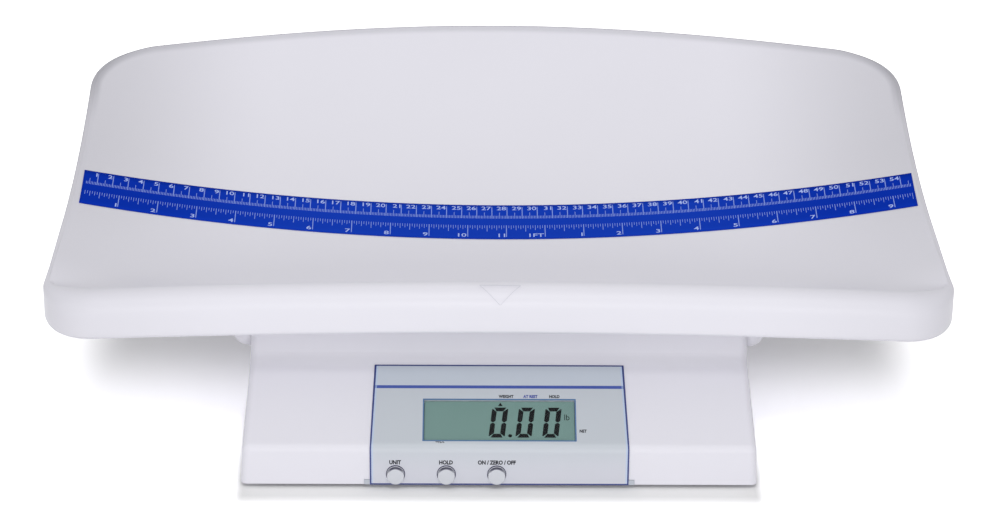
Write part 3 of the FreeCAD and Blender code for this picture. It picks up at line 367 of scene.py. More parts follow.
@dataclass(frozen=True, kw_only=True)
class TrayPlastic(MouldedPlastic):
    """The tray's moulded plastic, with painted shade where its sides rise and on its rolled back edge
    and corners.
    """

    tray: "Tray"
    roughness: float = 0.40
    side_light: float = 0.785
    across: Pair = (0.150, 0.285)
    along: Pair = (-0.110, 0.060)
    front_part: float = 0.4
    back_shade: float = 0.20
    corner_shade: float = 0.34
    side_reach: float = 0.0045
    back_reach: float = 0.0140
    fade: float = 0.0045
    rolled_from: Pair = (0.060, 0.125)
    rolled_colour: Colour = (0.0, 0.0, 0.02)
    cloud_colour: Colour = (0.62, 0.62, 0.66)
    cloud_part: float = 0.03

    def rolled(self, paint: Paint, x: Wire, y: Wire) -> Wire:
        """Return the painted shade of the rolled edge, from the distance inside the outline.

        The distance is R - sqrt(x^2 + y^2) in the back arc and in its corners' arcs, which meet on
        one radius. The shade reaches further in where the outline's normal points backwards.

        Args:
            paint: the material being built.
            x: the surface's x.
            y: the surface's y.

        Returns:
            The shade, from 0 to 1.
        """
        corner, flat = self.tray.back_corner, self.tray.half - self.tray.back_corner
        big, big_y, corner_y = self.tray.back_arc()
        run_x, run_y = abs(x) - flat, y - corner_y
        run_x, run_y = run_x * (run_x > 0.0), run_y * (run_y > 0.0)
        turn = (run_x * run_x + run_y * run_y).root()
        in_back = big - (x * x + (y - big_y) * (y - big_y)).root()
        at_back = abs(x) < flat * big / (big - corner)
        inside = at_back * in_back + (1 - at_back) * (corner - turn)
        facing = at_back | paint.ease(run_y / turn, 0.0, 1.0)
        reach = facing * (self.back_reach - self.side_reach) + self.side_reach
        strength = facing * (self.back_shade - self.corner_shade) + self.corner_shade
        band = 1 - paint.ease(inside - reach, 0.0, self.fade)
        return band * strength * paint.ease(y, *self.rolled_from)

    def look(self, paint: Paint) -> dict[str, Any]:
        """Let the painted shade grow as a smooth step of |x| times one of y.

        Args:
            paint: the material being built.

        Returns:
            The values of the shader's sockets.
        """
        x, y, _ = paint.place()
        depth = paint.ease(y, *self.along) * (1 - self.front_part) + self.front_part
        # painted shade: the colour darkens where the sides rise, most towards the back
        sides = paint.ease(abs(x), *self.across) * depth
        flow, values = self.moulded(paint)
        colour = paint.mix(sides, self.colour, scaled(self.colour, self.side_light))
        # painted shade on the rolled back edge and its corners
        colour = paint.mix(self.rolled(paint, x, y), colour, self.rolled_colour)
        return {"Base Color": paint.mix(flow * self.cloud_part, colour, self.cloud_colour), **values}


@dataclass(frozen=True)
class PlainMetal(Finish):
    """Milled or plated metal with long brush marks along X."""

    colour: Colour
    roughness: float = 0.32
    spread: float = 0.18
    brush: Triple = (40.0, 900.0, 900.0)
    dull: float = 0.86
    scale, depth = 60.0, 0.00002

    def look(self, paint: Paint) -> dict[str, Any]:
        """Stretch the noise along X.

        Args:
            paint: the material being built.

        Returns:
            The values of the shader's sockets.
        """
        drawn = paint.node("Mapping", {"Vector": paint.where(), "Scale": self.brush})
        marks = paint.node("TexNoise", {"Vector": drawn, "Scale": 1.0, "Detail": 3.0}).out("Fac")
        dull = paint.mix(paint.noise(self.scale, 3.0), scaled(self.colour, self.dull), self.colour)
        return {"Base Color": dull, "Metallic": 1.0, "Normal": paint.bump(marks, self.depth),
                "Roughness": self.roughness + (marks - 0.5) * self.spread}


@dataclass(frozen=True)
class SoftRubber(Finish):
    """Matt rubber with a dusty bloom."""

    colour: Colour
    bloom: Pair = (1.5, 0.01)
    scale, layers, rough, depth = 220.0, (4.0, 0.6), (0.72, 0.88), 0.00005

    def look(self, paint: Paint) -> dict[str, Any]:
        """Return the values of the shader's sockets."""
        texture, values = self.textured(paint)
        pale = scaled(self.colour, *self.bloom)
        return {"Base Color": paint.mix(texture, self.colour, pale), **values}


@dataclass(frozen=True)
class BoardLaminate(Finish):
    """Green solder mask over copper tracks, with a weave that just shows."""

    lanes_in_metre: float = 420.0
    lane_width: Pair = (0.12, 0.10)
    gate: Pair = (55.0, 0.52)
    mask: Colour = (0.010, 0.085, 0.030)
    track: Colour = (0.035, 0.190, 0.060)
    track_depth: float = 0.00003
    scale, rough, depth = 900.0, (0.30, 0.40), 0.0

    def look(self, paint: Paint) -> dict[str, Any]:
        """Mask the tracks by the distance to the nearest lane.

        Args:
            paint: the material being built.

        Returns:
            The values of the shader's sockets.
        """
        x, _, z = [place * self.lanes_in_metre for place in paint.place()]
        lanes = (x.near_whole() < self.lane_width[0]) | (z.near_whole() < self.lane_width[1])
        tracks = lanes * (paint.noise(self.gate[0], 1.0) > self.gate[1])
        return {"Base Color": paint.mix(tracks, self.mask, self.track), **self.textured(paint)[1],
                "Normal": paint.bump(tracks, self.track_depth)}


@dataclass(frozen=True)
class BatteryJacket(Finish):
    """A printed battery sleeve: dark with a copper-coloured band towards one end."""

    band: Pair
    dark: Colour = (0.015, 0.017, 0.020)
    copper: Colour = (0.55, 0.27, 0.10)
    shine: float = 0.6
    scale, layers, rough, depth = 300.0, (3.0, 0.5), (0.28, 0.43), 0.00001

    def look(self, paint: Paint) -> dict[str, Any]:
        """Return the values of the shader's sockets."""
        band = paint.place()[1].between(*self.band)
        return {"Base Color": paint.mix(band, self.dark, self.copper), "Metallic": band * self.shine,
                **self.textured(paint)[1]}


@dataclass(frozen=True)
class ClearPane(Finish):
    """The clear window: mostly see-through, with a faint gloss."""

    tint: Colour = (0.75, 0.82, 0.82)
    alpha: float = 0.004
    gloss: float = 0.08
    scale, rough, depth = 40.0, (0.06, 0.11), 0.0

    def look(self, paint: Paint) -> dict[str, Any]:
        """Return the values of the shader's sockets."""
        haze, values = self.textured(paint)
        return {"Base Color": self.tint, "Alpha": self.alpha + haze * self.alpha,
                "Specular IOR Level": self.gloss, **values}


@dataclass(frozen=True)
class DisplayGlass(Finish):
    """The display's grey-green polariser, a little paler towards its edges."""

    half_width: float
    middle: Colour = (0.171, 0.288, 0.265)
    edge: Colour = (0.176, 0.292, 0.272)
    edge_part: float = 0.7
    mottle_part: float = 0.08
    gloss: float = 0.2
    scale, rough, depth = 500.0, (0.34, 0.40), 0.000004

    def look(self, paint: Paint) -> dict[str, Any]:
        """Let the edge's share grow as the square of |x|.

        Args:
            paint: the material being built.

        Returns:
            The values of the shader's sockets.
        """
        side = abs(paint.place()[0]) / self.half_width
        mottle, values = self.textured(paint)
        share = side * side * self.edge_part + mottle * self.mottle_part
        return {"Base Color": paint.mix(share, self.middle, self.edge),
                "Specular IOR Level": self.gloss, **values}


@dataclass(frozen=True)
class Printing(Finish):
    """A flat ink film."""

    ink: Ink
    paler: Pair = (1.12, 0.004)
    gloss: float = 0.06
    scale, rough, depth = 800.0, (0.42, 0.50), 0.0

    def look(self, paint: Paint) -> dict[str, Any]:
        """Return the values of the shader's sockets: the film is patchy."""
        ink, (patchy, values) = self.ink.value, self.textured(paint)
        return {"Base Color": paint.mix(patchy, ink, scaled(ink, *self.paler)),
                "Specular IOR Level": self.gloss, **values}


# ------------------------------------------------------------------ meshes
def grid_faces(rows: int, columns: int, wrap: bool = False) -> list[list[int]]:
    """Join a grid of points into four-cornered faces.

    Args:
        rows: how many rows the grid has.
        columns: how many points there are in a row.
        wrap: True where a row's last point joins its first.

    Returns:
        The faces, each as four point numbers.
    """
    i, j = np.meshgrid(np.arange(rows - 1), np.arange(columns - (not wrap)), indexing="ij")
    k = (j + 1) % columns
    corners = [i * columns + j, i * columns + k, (i + 1) * columns + k, (i + 1) * columns + j]
    return np.stack(corners, -1).reshape(-1, 4).tolist()


def join(shapes: list[Shape]) -> Shape:
    """Join shapes, each given as its points and faces, into one.

    Args:
        shapes: the points and faces of each.

    Returns:
        The points and faces of all.
    """
    starts = np.cumsum([0] + [len(points) for points, _ in shapes])
    faces = [[int(k + start) for k in face]
             for start, (_, part) in zip(starts, shapes) for face in part]
    return np.concatenate([points for points, _ in shapes]), faces


def add_object(name: str, data: Any) -> Piece:
    """Link a new object to the scene, at the origin.

    Args:
        name: its name.
        data: its mesh, lamp or camera.

    Returns:
        The object.
    """
    made = bpy.data.objects.new(name, data)
    bpy.context.scene.collection.objects.link(made)
    return made


def make_piece(name: str, points: np.ndarray, faces: list[Any], smooth: bool = True) -> Piece:
    """Make an object at the origin from points and faces.

    Args:
        name: the object's name.
        points: its points, in metres.
        faces: lists of point numbers.
        smooth: True for smooth shading.

    Returns:
        The new object, linked to the scene.
    """
    mesh = bpy.data.meshes.new(name)
    mesh.from_pydata(points.reshape(-1, 3).tolist(), [], faces)
    mesh.polygons.foreach_set("use_smooth", [smooth] * len(mesh.polygons))
    mesh.update()
    return add_object(name, mesh)


def read_points(mesh: bpy.types.Mesh) -> np.ndarray:
    """Read a mesh's points as rows of x, y and z.

    Args:
        mesh: the mesh.

    Returns:
        The points, in metres.
    """
    flat = np.zeros(len(mesh.vertices) * 3)
    mesh.vertices.foreach_get("co", flat)
    return flat.reshape(-1, 3)


def solidify(piece: Piece, thickness: float) -> None:
    """Give a sheet a wall on the side away from its normals.

    Args:
        piece: the sheet.
        thickness: the wall's, in metres.
    """
    wall = piece.modifiers.new("wall", "SOLIDIFY")
    wall.thickness = thickness
    wall.offset = -1.0
    wall.use_rim = True


def dress(piece: Piece, material: Material) -> None:
    """Put one material on every slot of a piece."""
    piece.data.materials.clear()
    piece.data.materials.append(material)


def settle(piece: Piece, material: Material, body: str = DECK, node: str = "") -> None:
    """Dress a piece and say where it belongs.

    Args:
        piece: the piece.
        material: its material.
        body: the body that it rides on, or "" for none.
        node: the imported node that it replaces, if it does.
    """
    dress(piece, material)
    if body:
        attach(piece, body)
    if node:
        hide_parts(node)


def lathe(profile: np.ndarray, centre: Pair, turns: int) -> Shape:
    """Turn a profile about an upright line: x = r cos a, y = r sin a, z as the profile gives.

    Args:
        profile: rows of (radius, height) from the bottom up, the first and last on the axis.
        centre: the axis's x and y.
        turns: how many points go round.

    Returns:
        The points and the faces.
    """
    inner = profile[1:-1]
    xy = inner[:, None, :1] * round_turn(turns)[None]
    z = np.broadcast_to(inner[:, None, 1:], (len(inner), turns, 1))
    body = np.concatenate([xy, z], -1).reshape(-1, 3)
    poles = np.array([[0, 0, profile[0, 1]], [0, 0, profile[-1, 1]]])
    faces = grid_faces(len(inner), turns, True)
    last = (len(inner) - 1) * turns
    for j in range(turns):
        k = (j + 1) % turns
        faces += [[len(body), k, j], [len(body) + 1, last + j, last + k]]
    return np.concatenate([body, poles]) + np.array([*centre, 0.0]), faces


def flat_text(words: str, height: float, wide: float = 1.0, weight: float = 0.0) -> Shape:
    """Set a line of generic lettering as a flat mesh, its left end and baseline at the origin.

    Args:
        words: the letters.
        height: the height of a capital letter.
        wide: how much wider than the plain letter.
        weight: how far the strokes are thickened, as a share of the height.

    Returns:
        The points (x, y) and the faces.
    """
    curve = bpy.data.curves.new("lettering", "FONT")
    curve.body = words
    curve.size = 1.0
    curve.resolution_u = 3
    curve.offset = weight
    holder = bpy.data.objects.new("lettering", curve)
    mesh = bpy.data.meshes.new_from_object(holder)
    points = read_points(mesh)[:, :2] * height / CAPITAL * np.array([wide, 1.0])
    points[:, 0] -= points[:, 0].min()
    faces = [list(p.vertices) for p in mesh.polygons]
    bpy.data.objects.remove(holder)
    bpy.data.curves.remove(curve)
    bpy.data.meshes.remove(mesh)
    return points, faces


@dataclass
class Print:
    """Flat shapes that are printed on one surface in one ink.

    The surface is a function that takes flat points (u, v), in metres, to their places.
    """

    name: str
    carry: Callable[[np.ndarray], np.ndarray]
    shapes: list[Shape] = field(default_factory=list)

    def words(self, words: str, at: Pair, height: float, anchor: float = 0.5,
              wide: float = 1.0, weight: float = 0.0) -> None:
        """Add a line of lettering.

        Args:
            words: the letters.
            at: where its anchor and baseline go.
            height: the height of a capital letter.
            anchor: 0 for its left end, 0.5 for its middle and 1 for its right end.
            wide: how much wider than the plain letter.
            weight: how far the strokes are thickened.
        """
        points, faces = flat_text(words, height, wide, weight)
        start = at[0] - anchor * points[:, 0].max()
        self.shapes.append((points + np.array([start, at[1]]), faces))

    def disc(self, at: Pair, radius: float, sides: int = 20) -> None:
        """Add a round dot or, with few sides, a small polygon that points up."""
        ring = round_turn(sides, math.pi / 2) * radius + np.array(at)
        self.shapes.append((ring, [list(range(sides))]))

    def piece(self, ink: Ink, slot: str, body: str = "base") -> None:
        """Make the print's object.

        Args:
            ink: its ink.
            slot: a material slot of the record; not used.
            body: the body that it rides on.
        """
        flat, faces = join(self.shapes)
        made = make_piece(self.name, self.carry(flat), faces, smooth=False)
        name = f"{ink.name.lower()}_ink"
        film = bpy.data.materials.get(name) or Printing(name, ink).build()
        settle(made, film, body)
        LOG.info("%s: %d faces of print", self.name, len(faces))


# ------------------------------------------------------------------ tray
@dataclass
class Tray:
    """The dished tray: one moulding whose edge rolls over, with a raised lip in front."""

    width: float = 0.558
    depth: float = 0.370
    bow: float = 0.059
    wall: float = 0.0034
    front_corner: float = 0.034
    back_corner: float = 0.060
    seat_radius: float = 0.558
    side_rise: float = 0.031
    low_from_lip: float = 0.0443
    over_platform: float = 0.0047
    side_round: float = 0.003
    back_round: float = 0.0105
    lip_round: float = 0.012
    lip_rise: float = 0.0333
    lip_droop: float = 0.0066
    lip_height: float = 0.0292
    lip_bottom_droop: float = 0.0070
    lip_drop: float = 0.0055
    lip_width: float = 0.024
    inner_run: float = 0.041
    inner_power: float = 2.2
    skirt: float = 0.012
    blend_start: float = 0.020
    blend_end: float = 0.110
    hem_start: float = -0.012
    side_hem: float = 0.003
    front_hem: float = 0.003
    back_hem: float = 0.002
    boss_radius: float = 0.007
    boss_edge: float = 0.0006
    boss_sink: float = 0.6
    screw_head: float = 0.004
    mark_half: float = 0.0122
    mark_high: float = math.radians(70)
    mark_low: float = math.radians(8)
    mark_line: float = 0.00045
    mark_leg: float = 0.000315
    least_wall: float = 0.0005
    side_reach: float = 0.0135
    end_reach: float = 0.0260
    soft: float = 0.0012
    crown_fall: float = 3.0
    pole_share: float = 0.46
    ring_power: float = 1.5
    plan_steps: tuple[int, ...] = (56, 28, 40, 26, 60)
    hem_steps: int = 7
    wall_steps: int = 5
    crown_steps: int = 10
    reach_steps: int = 15
    seat_steps: int = 46

    def __post_init__(self) -> None:
        """Take the tray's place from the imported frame."""
        self.lip_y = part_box("tray")[0][1]
        self.seat_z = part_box("weighing_platform")[1][2] + self.over_platform
        self.seat_y = self.lip_y + self.low_from_lip
        self.half = self.width / 2
        self.side_k = self.side_rise / self.half ** 2
        self.inner_y = self.lip_y + self.lip_width

    def seat(self, x: np.ndarray, y: np.ndarray) -> np.ndarray:
        """Return the dished seat's height: an arc front to back plus a parabola across."""
        arc = self.seat_radius - np.sqrt(self.seat_radius ** 2 - (y - self.seat_y) ** 2)
        return self.seat_z + arc + self.side_k * x * x

    def lip_top(self, x: np.ndarray) -> np.ndarray:
        """Return the height of the lip's crown, which droops a little towards the ends."""
        return self.seat_z + self.lip_rise - self.lip_droop * (x / self.half) ** 2

    def inside(self, x: np.ndarray, y: np.ndarray) -> np.ndarray:
        """Return the height of the tray's inside: the seat, and a power curve up to the front lip.

        Args:
            x: the place's x.
            y: the place's y.

        Returns:
            The height.
        """
        t = np.clip(1 - (y - self.inner_y) / self.inner_run, 0.0, 1.0)
        climb = self.lip_top(x) - self.lip_drop - self.seat(x, self.inner_y)
        return self.seat(x, y) + climb * t ** self.inner_power

    def front_share(self, y: np.ndarray, start: float) -> np.ndarray:
        """Return 1 up to a distance behind the front lip, easing to 0 along the sides."""
        return 1 - smooth_step((y - self.lip_y - start) / (self.blend_end - start))

    def rim(self, x: np.ndarray, y: np.ndarray, normal: np.ndarray, round_: np.ndarray) -> np.ndarray:
        """Return the height of the rolled edge's crown, which meets the seat at a tangent.

        A circle of radius r that touches a slope g stands r (sqrt(1 + g^2) - 1) under it where the
        slope crosses the circle's middle. At the front the crown rises to the lip.

        Args:
            x: the crown's x.
            y: the crown's y.
            normal: the outline's outward normals.
            round_: the radius of the roll.

        Returns:
            The height.
        """
        run = y - self.seat_y
        slope = 2 * self.side_k * x * normal[:, 0] \
            + run / np.sqrt(self.seat_radius ** 2 - run ** 2) * normal[:, 1]
        plain = self.seat(x, y) - round_ * (np.sqrt(1 + slope ** 2) - 1)
        rise = self.lip_top(x) - self.seat(x, self.lip_y)
        return plain + rise * self.front_share(y, self.blend_start)

    def hem_height(self, x: np.ndarray, y: np.ndarray) -> np.ndarray:
        """Set the skirt's lower edge: deep at the front, shallow at the sides and back.

        Args:
            x: the place's x.
            y: the place's y.

        Returns:
            The height.
        """
        droop = self.lip_bottom_droop * (x / self.half) ** 2
        lip = self.seat_z + self.lip_rise - self.lip_height - droop
        plain = self.seat(x, y) - self.skirt
        return plain + (lip - plain) * self.front_share(y, self.hem_start)

    def back_arc(self) -> Triple:
        """Return the back arc's radius, its middle's y and the y of its corners' middles."""
        w, rb = self.half, self.back_corner
        big = (w * w + self.bow ** 2) / (2 * self.bow)
        centre = self.lip_y + self.depth - big
        return big, centre, centre + math.sqrt((big - rb) ** 2 - (w - rb) ** 2)

    def outline(self) -> tuple[np.ndarray, np.ndarray]:
        """Walk round the plan: straight front and sides, an arc at the back, round corners.

        Returns:
            The outline's points and its outward normals, anticlockwise from the front's middle.
        """
        w, y0 = self.half, self.lip_y
        rf, rb = self.front_corner, self.back_corner
        big, centre, corner = self.back_arc()
        turn, quarter = math.atan2(corner - centre, w - rb), math.pi / 2
        steps = iter(self.plan_steps)

        def line(a: Pair, b: Pair, normal: Pair) -> tuple[np.ndarray, np.ndarray]:
            """Return points from a towards b, with one normal."""
            t = np.linspace(0, 1, next(steps), endpoint=False)[:, None]
            return np.array(a) * (1 - t) + np.array(b) * t, np.tile(normal, (len(t), 1))

        def arc(x: float, y: float, r: float, a: float, b: float) -> tuple[np.ndarray, np.ndarray]:
            """Return points on an arc from angle a towards b, with their normals."""
            normal = round_turn(next(steps), a, b - a)
            return np.array([x, y]) + r * normal, normal

        parts = [line((0, y0), (w - rf, y0), (0.0, -1.0)), arc(w - rf, y0 + rf, rf, -quarter, 0),
                 line((w, y0 + rf), (w, corner), (1.0, 0.0)), arc(w - rb, corner, rb, 0, turn),
                 arc(0, centre, big, turn, quarter)]
        points = np.concatenate([p for p, _ in parts])
        normals = np.concatenate([n for _, n in parts])
        back = np.array([[0, y0 + self.depth]])
        flip = np.array([-1.0, 1.0])
        left, left_n = points[:0:-1] * flip, normals[:0:-1] * flip
        return np.concatenate([points, back, left]), np.concatenate([normals, [[0, 1.0]], left_n])

    def skin(self) -> tuple[np.ndarray, np.ndarray]:
        """Work out the outer skin, ring by ring, from the hem over the rim to the seat's middle.

        Each ring is the outline drawn in by an inset, at a height: a quarter round hem, an upright
        wall, a quarter round crown, the soft maximum of the crown's far side and the seat, and then
        the seat itself on straight lines to its middle.

        Returns:
            The rings as an array of (ring, point, xyz), and the middle point.
        """
        plan, normal = self.outline()
        front, back = smooth_step(-normal[:, 1]), smooth_step(normal[:, 1])

        def share(side: float, at_front: float, at_back: float) -> np.ndarray:
            """Return a size that changes from the sides to the front and to the back."""
            return side + (at_front - side) * front + (at_back - side) * back

        round_ = share(self.side_round, self.lip_round, self.back_round)
        hem = share(self.side_hem, self.front_hem, self.back_hem)
        on_crown = plan - normal * round_[:, None]
        top = self.rim(*on_crown.T, normal, round_)
        low = np.minimum(self.hem_height(*plan.T), top - round_ - hem - self.least_wall)
        rings = []

        def ring(inset: np.ndarray, height: np.ndarray) -> None:
            """Add a ring at an inset and a height."""
            xy = plan - normal * inset[:, None]
            rings.append(np.concatenate([xy, height[:, None]], -1))

        ring(hem + self.wall, low)
        for a in np.linspace(0, math.pi / 2, self.hem_steps):
            ring(hem * (1 - math.sin(a)), low + hem * (1 - math.cos(a)))
        for q in np.linspace(0, 1, self.wall_steps)[1:-1]:
            ring(hem * 0, (low + hem) * (1 - q) + (top - round_) * q)
        for a in np.linspace(0, math.pi / 2, self.crown_steps):
            ring(round_ * (1 - math.cos(a)), top - round_ * (1 - math.sin(a)))
        reach = share(self.side_reach, self.end_reach, self.end_reach)
        for q in np.linspace(0, 1, self.reach_steps)[1:]:
            inset = round_ + (reach - round_) * q
            xy = plan - normal * inset[:, None]
            over = np.maximum(round_ ** 2 - (inset - round_) ** 2, 0.0)
            past = np.maximum(inset - 2 * round_, 0.0)
            crown = top - round_ + np.sqrt(over) - self.crown_fall * past
            ring(inset, smooth_max(crown, self.inside(*xy.T), self.soft))
        edge = rings[-1][:, :2]
        middle = np.array([0.0, self.lip_y + self.depth * self.pole_share])
        for q in np.linspace(0, 1, self.seat_steps)[1:-1]:
            xy = middle + (edge - middle) * (1 - q ** self.ring_power)
            rings.append(np.concatenate([xy, self.inside(*xy.T)[:, None]], -1))
        return np.stack(rings), np.array([*middle, float(self.inside(*middle))])

    def build(self, finish: Material) -> None:
        """Make the tray's shell with its four bosses, and its mark.

        Args:
            finish: the tray's material.
        """
        rings, pole = self.skin()
        count, around = rings.shape[:2]
        faces = grid_faces(count, around, True)
        last = (count - 1) * around
        faces += [[last + j, last + (j + 1) % around, count * around] for j in range(around)]
        shell = make_piece("tray_shell", np.concatenate([rings.reshape(-1, 3), [pole]]), faces)
        solidify(shell, self.wall)
        settle(shell, finish, node="tray")
        self.bosses(finish)
        self.mark()

    def on_lip(self, flat: np.ndarray, lift: float) -> np.ndarray:
        """Carry (x, angle) to the lip's roll: y = r - r cos a back from the lip, z = r sin a up it.

        Args:
            flat: rows of (x, angle).
            lift: how far above the surface.

        Returns:
            The points in place.
        """
        x, angle = flat[:, 0], flat[:, 1]
        reach = self.lip_round + lift
        y = self.lip_y + self.lip_round - reach * np.cos(angle)
        return np.stack([x, y, self.lip_top(x) - self.lip_round + reach * np.sin(angle)], -1)

    def mark(self) -> None:
        """Print the faint triangle that marks the middle of the lip, its point downwards."""
        mark = Print("lip_mark", lambda flat: self.on_lip(flat, INK_LIFT))
        half, high, low = self.mark_half, self.mark_high, self.mark_low
        wide, steps = self.mark_line / self.lip_round, 13
        t = np.linspace(0, 1, steps)
        top = np.stack([half * (2 * t - 1), np.full(steps, high)], -1)
        pairs = [(top, top + [0.0, wide])]
        for side in (-1.0, 1.0):
            leg = np.stack([side * half * t, low + (high - low) * t], -1)
            across = np.array([side * self.mark_leg, 0.0])
            pairs.append((leg, leg + across) if side < 0 else (leg + across, leg))
        mark.shapes = [(np.concatenate(pair), grid_faces(2, steps)) for pair in pairs]
        mark.piece(Ink.MARK, "white_shell", DECK)

    def bosses(self, finish: Material) -> None:
        """Make the four bosses that stand on the platform's floor, one over each tray screw.

        Args:
            finish: the tray's material.
        """
        low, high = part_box("tray_screws")
        floor, r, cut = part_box("tray")[0][2], self.boss_radius, self.boss_edge
        bosses = []
        for x in (low[0] + self.screw_head, high[0] - self.screw_head):
            for y in (low[1] + self.screw_head, high[1] - self.screw_head):
                under = float(self.inside(x, y)) - self.wall * self.boss_sink
                profile = [(0, floor), (r - cut, floor), (r, floor + cut), (r, under), (0, under)]
                bosses.append(lathe(np.array(profile), (x, y), 32))
        settle(make_piece("tray_bosses", *join(bosses), smooth=False), finish)


# ------------------------------------------------------------------ ruler tape
@dataclass(frozen=True)
class RulerVinyl(Finish):
    """Blue printed vinyl whose ticks are worked out from the ruler's own length and width.

    A row of marks has how many there are in a unit, half a mark's thickness as a share of their
    pitch, and the mark's two ends across the tape, as shares of its width.
    """

    span_cm: float
    cm_marks: tuple[tuple[float, ...], ...] = (
        (1.0, 0.026, 0.615, 0.95), (2.0, 0.034, 0.615, 0.79), (10.0, 0.17, 0.615, 0.695))
    inch_marks: tuple[tuple[float, ...], ...] = (
        (1.0, 0.0105, 0.06, 0.41), (2.0, 0.015, 0.225, 0.41), (4.0, 0.026, 0.265, 0.41),
        (8.0, 0.05, 0.295, 0.41), (16.0, 0.10, 0.33, 0.41))
    marked_cm: Pair = (0.22, 54.62)
    blue: Colour = (0.009, 0.050, 0.500)
    # painted shade: the blue darkens to this towards the tape's ends, where the seat's sides rise
    deep: Colour = (0.004, 0.033, 0.431)
    deeper: Pair = (0.10, 0.25)
    tick: Colour = (0.34, 0.45, 0.88)
    tick_part: float = 0.85
    cloud: Pair = (30.0, 0.1)
    scale, rough, depth = 2000.0, (0.45, 0.53), 0.00001

    def look(self, paint: Paint) -> dict[str, Any]:
        """Mask the marks by the fraction of a centimetre or of an inch.

        Args:
            paint: the material being built.

        Returns:
            The values of the shader's sockets.
        """
        uv = paint.node("UVMap")
        parts = paint.node("SeparateXYZ", {0: uv})
        cm, across = parts.out("X") * self.span_cm, parts.out("Y")
        masks = [((scale * count).near_whole() < thick) * across.between(low, high)
                 for scale, rows in ((cm, self.cm_marks), (cm / CM_IN_INCH, self.inch_marks))
                 for count, thick, low, high in rows]
        ticks = functools.reduce(operator.or_, masks) * cm.between(*self.marked_cm)
        cloud = (paint.noise(self.cloud[0]) - 0.5) * self.cloud[1]
        # painted shade towards the tape's ends
        ends = paint.ease(abs(paint.place()[0]), *self.deeper) + cloud
        ground = paint.mix(ends, self.blue, self.deep)
        return {"Base Color": paint.mix(ticks * self.tick_part, ground, self.tick),
                "Specular IOR Level": 0.0, **self.textured(paint)[1]}


@dataclass
class RulerTape:
    """The printed ruler that lies across the seat and bends forwards a little at its ends."""

    tray: Tray
    length: float = 0.550
    width: float = 0.0410
    bow: float = 0.0099
    lean_share: float = 0.425
    from_lip: float = 0.170
    lift: float = 0.0005
    thickness: float = 0.0003
    zero_from_middle: float = 0.2735
    digit: float = 0.0040
    span_cm: float = 60.0
    short: float = 0.0018
    longer: float = 0.0016
    number_lift: float = 0.00006
    upper_at: float = 0.455
    lower_at: float = 0.445
    gap: float = 0.0006
    wide: float = 1.12
    bold: float = 0.012
    inch_digit: float = 0.0042
    inch_gap: float = 0.0009
    inch_wide: float = 1.15
    inch_bold: float = 0.014

    def __post_init__(self) -> None:
        """Work out the slope of the seat under the tape."""
        self.middle = self.tray.lip_y + self.from_lip
        run = self.middle - self.tray.seat_y
        slope = run / math.sqrt(self.tray.seat_radius ** 2 - run ** 2)
        self.flat = 1 / math.sqrt(1 + slope ** 2)
        self.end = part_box("ruler_tape")[1][0] - self.short

    def carry(self, flat: np.ndarray, lift: float) -> np.ndarray:
        """Lay flat points on the seat.

        Along the tape x = s - (2/3) k^2 s^3, the length measured on the parabola z = k x^2; the
        centre line bows as a parabola in plan, and the height is the seat's own.

        Args:
            flat: rows of (s, w), along and across the tape from its middle.
            lift: how far above the seat.

        Returns:
            The points in place.
        """
        s, w = flat[:, 0], flat[:, 1]
        x = s - 2 / 3 * self.tray.side_k ** 2 * s ** 3
        lean = -2 * self.bow * x / (self.length / 2) ** 2
        y = self.middle - self.bow * (x / (self.length / 2)) ** 2 + w * self.flat
        x = x - lean * (w * self.lean_share + self.width / 2 * (1 - self.lean_share))
        return np.stack([x, y, self.tray.inside(x, y) + lift], -1)

    def build(self) -> None:
        """Make the strip, with the ruler's length and width as its UV map, and its numbers."""
        columns, rows = 260, 9
        reach = self.end + 2 / 3 * self.tray.side_k ** 2 * self.end ** 3
        s, w = np.meshgrid(np.linspace(-reach, reach + self.longer, columns),
                           np.linspace(-self.width / 2, self.width / 2, rows))
        flat = np.stack([s.ravel(), w.ravel()], -1)
        strip = make_piece("ruler_strip", self.carry(flat, self.lift), grid_faces(rows, columns))
        layer = strip.data.uv_layers.new(name="ruler")
        mark = (flat[:, 0] + self.zero_from_middle) * 100 / self.span_cm
        across = flat[:, 1] / self.width + 0.5
        corner = np.zeros(len(strip.data.loops), dtype=int)
        strip.data.loops.foreach_get("vertex_index", corner)
        layer.data.foreach_set("uv", np.stack([mark[corner], across[corner]], -1).ravel())
        solidify(strip, self.thickness)
        settle(strip, RulerVinyl("ruler_vinyl", self.span_cm).build(),
               node="ruler_tape")
        self.numbers()

    def numbers(self) -> None:
        """Print centimetres along the upper edge and inches along the lower edge."""
        lettering = Print("ruler_numbers", lambda flat: self.carry(flat, self.lift + self.number_lift))
        upper = self.width * self.upper_at - self.digit
        for mark in range(1, 55):
            at = (mark / 100 - self.zero_from_middle - self.gap, upper)
            lettering.words(str(mark), at, self.digit, 1.0, self.wide, self.bold)
        for mark in range(1, 22):
            words = "1FT" if mark == 12 else str(mark % 12)
            at = (mark * CM_IN_INCH / 100 - self.zero_from_middle - self.inch_gap,
                  -self.width * self.lower_at)
            lettering.words(words, at, self.inch_digit, 1.0, self.inch_wide, self.inch_bold)
        lettering.piece(Ink.RULER, "blue_print", DECK)


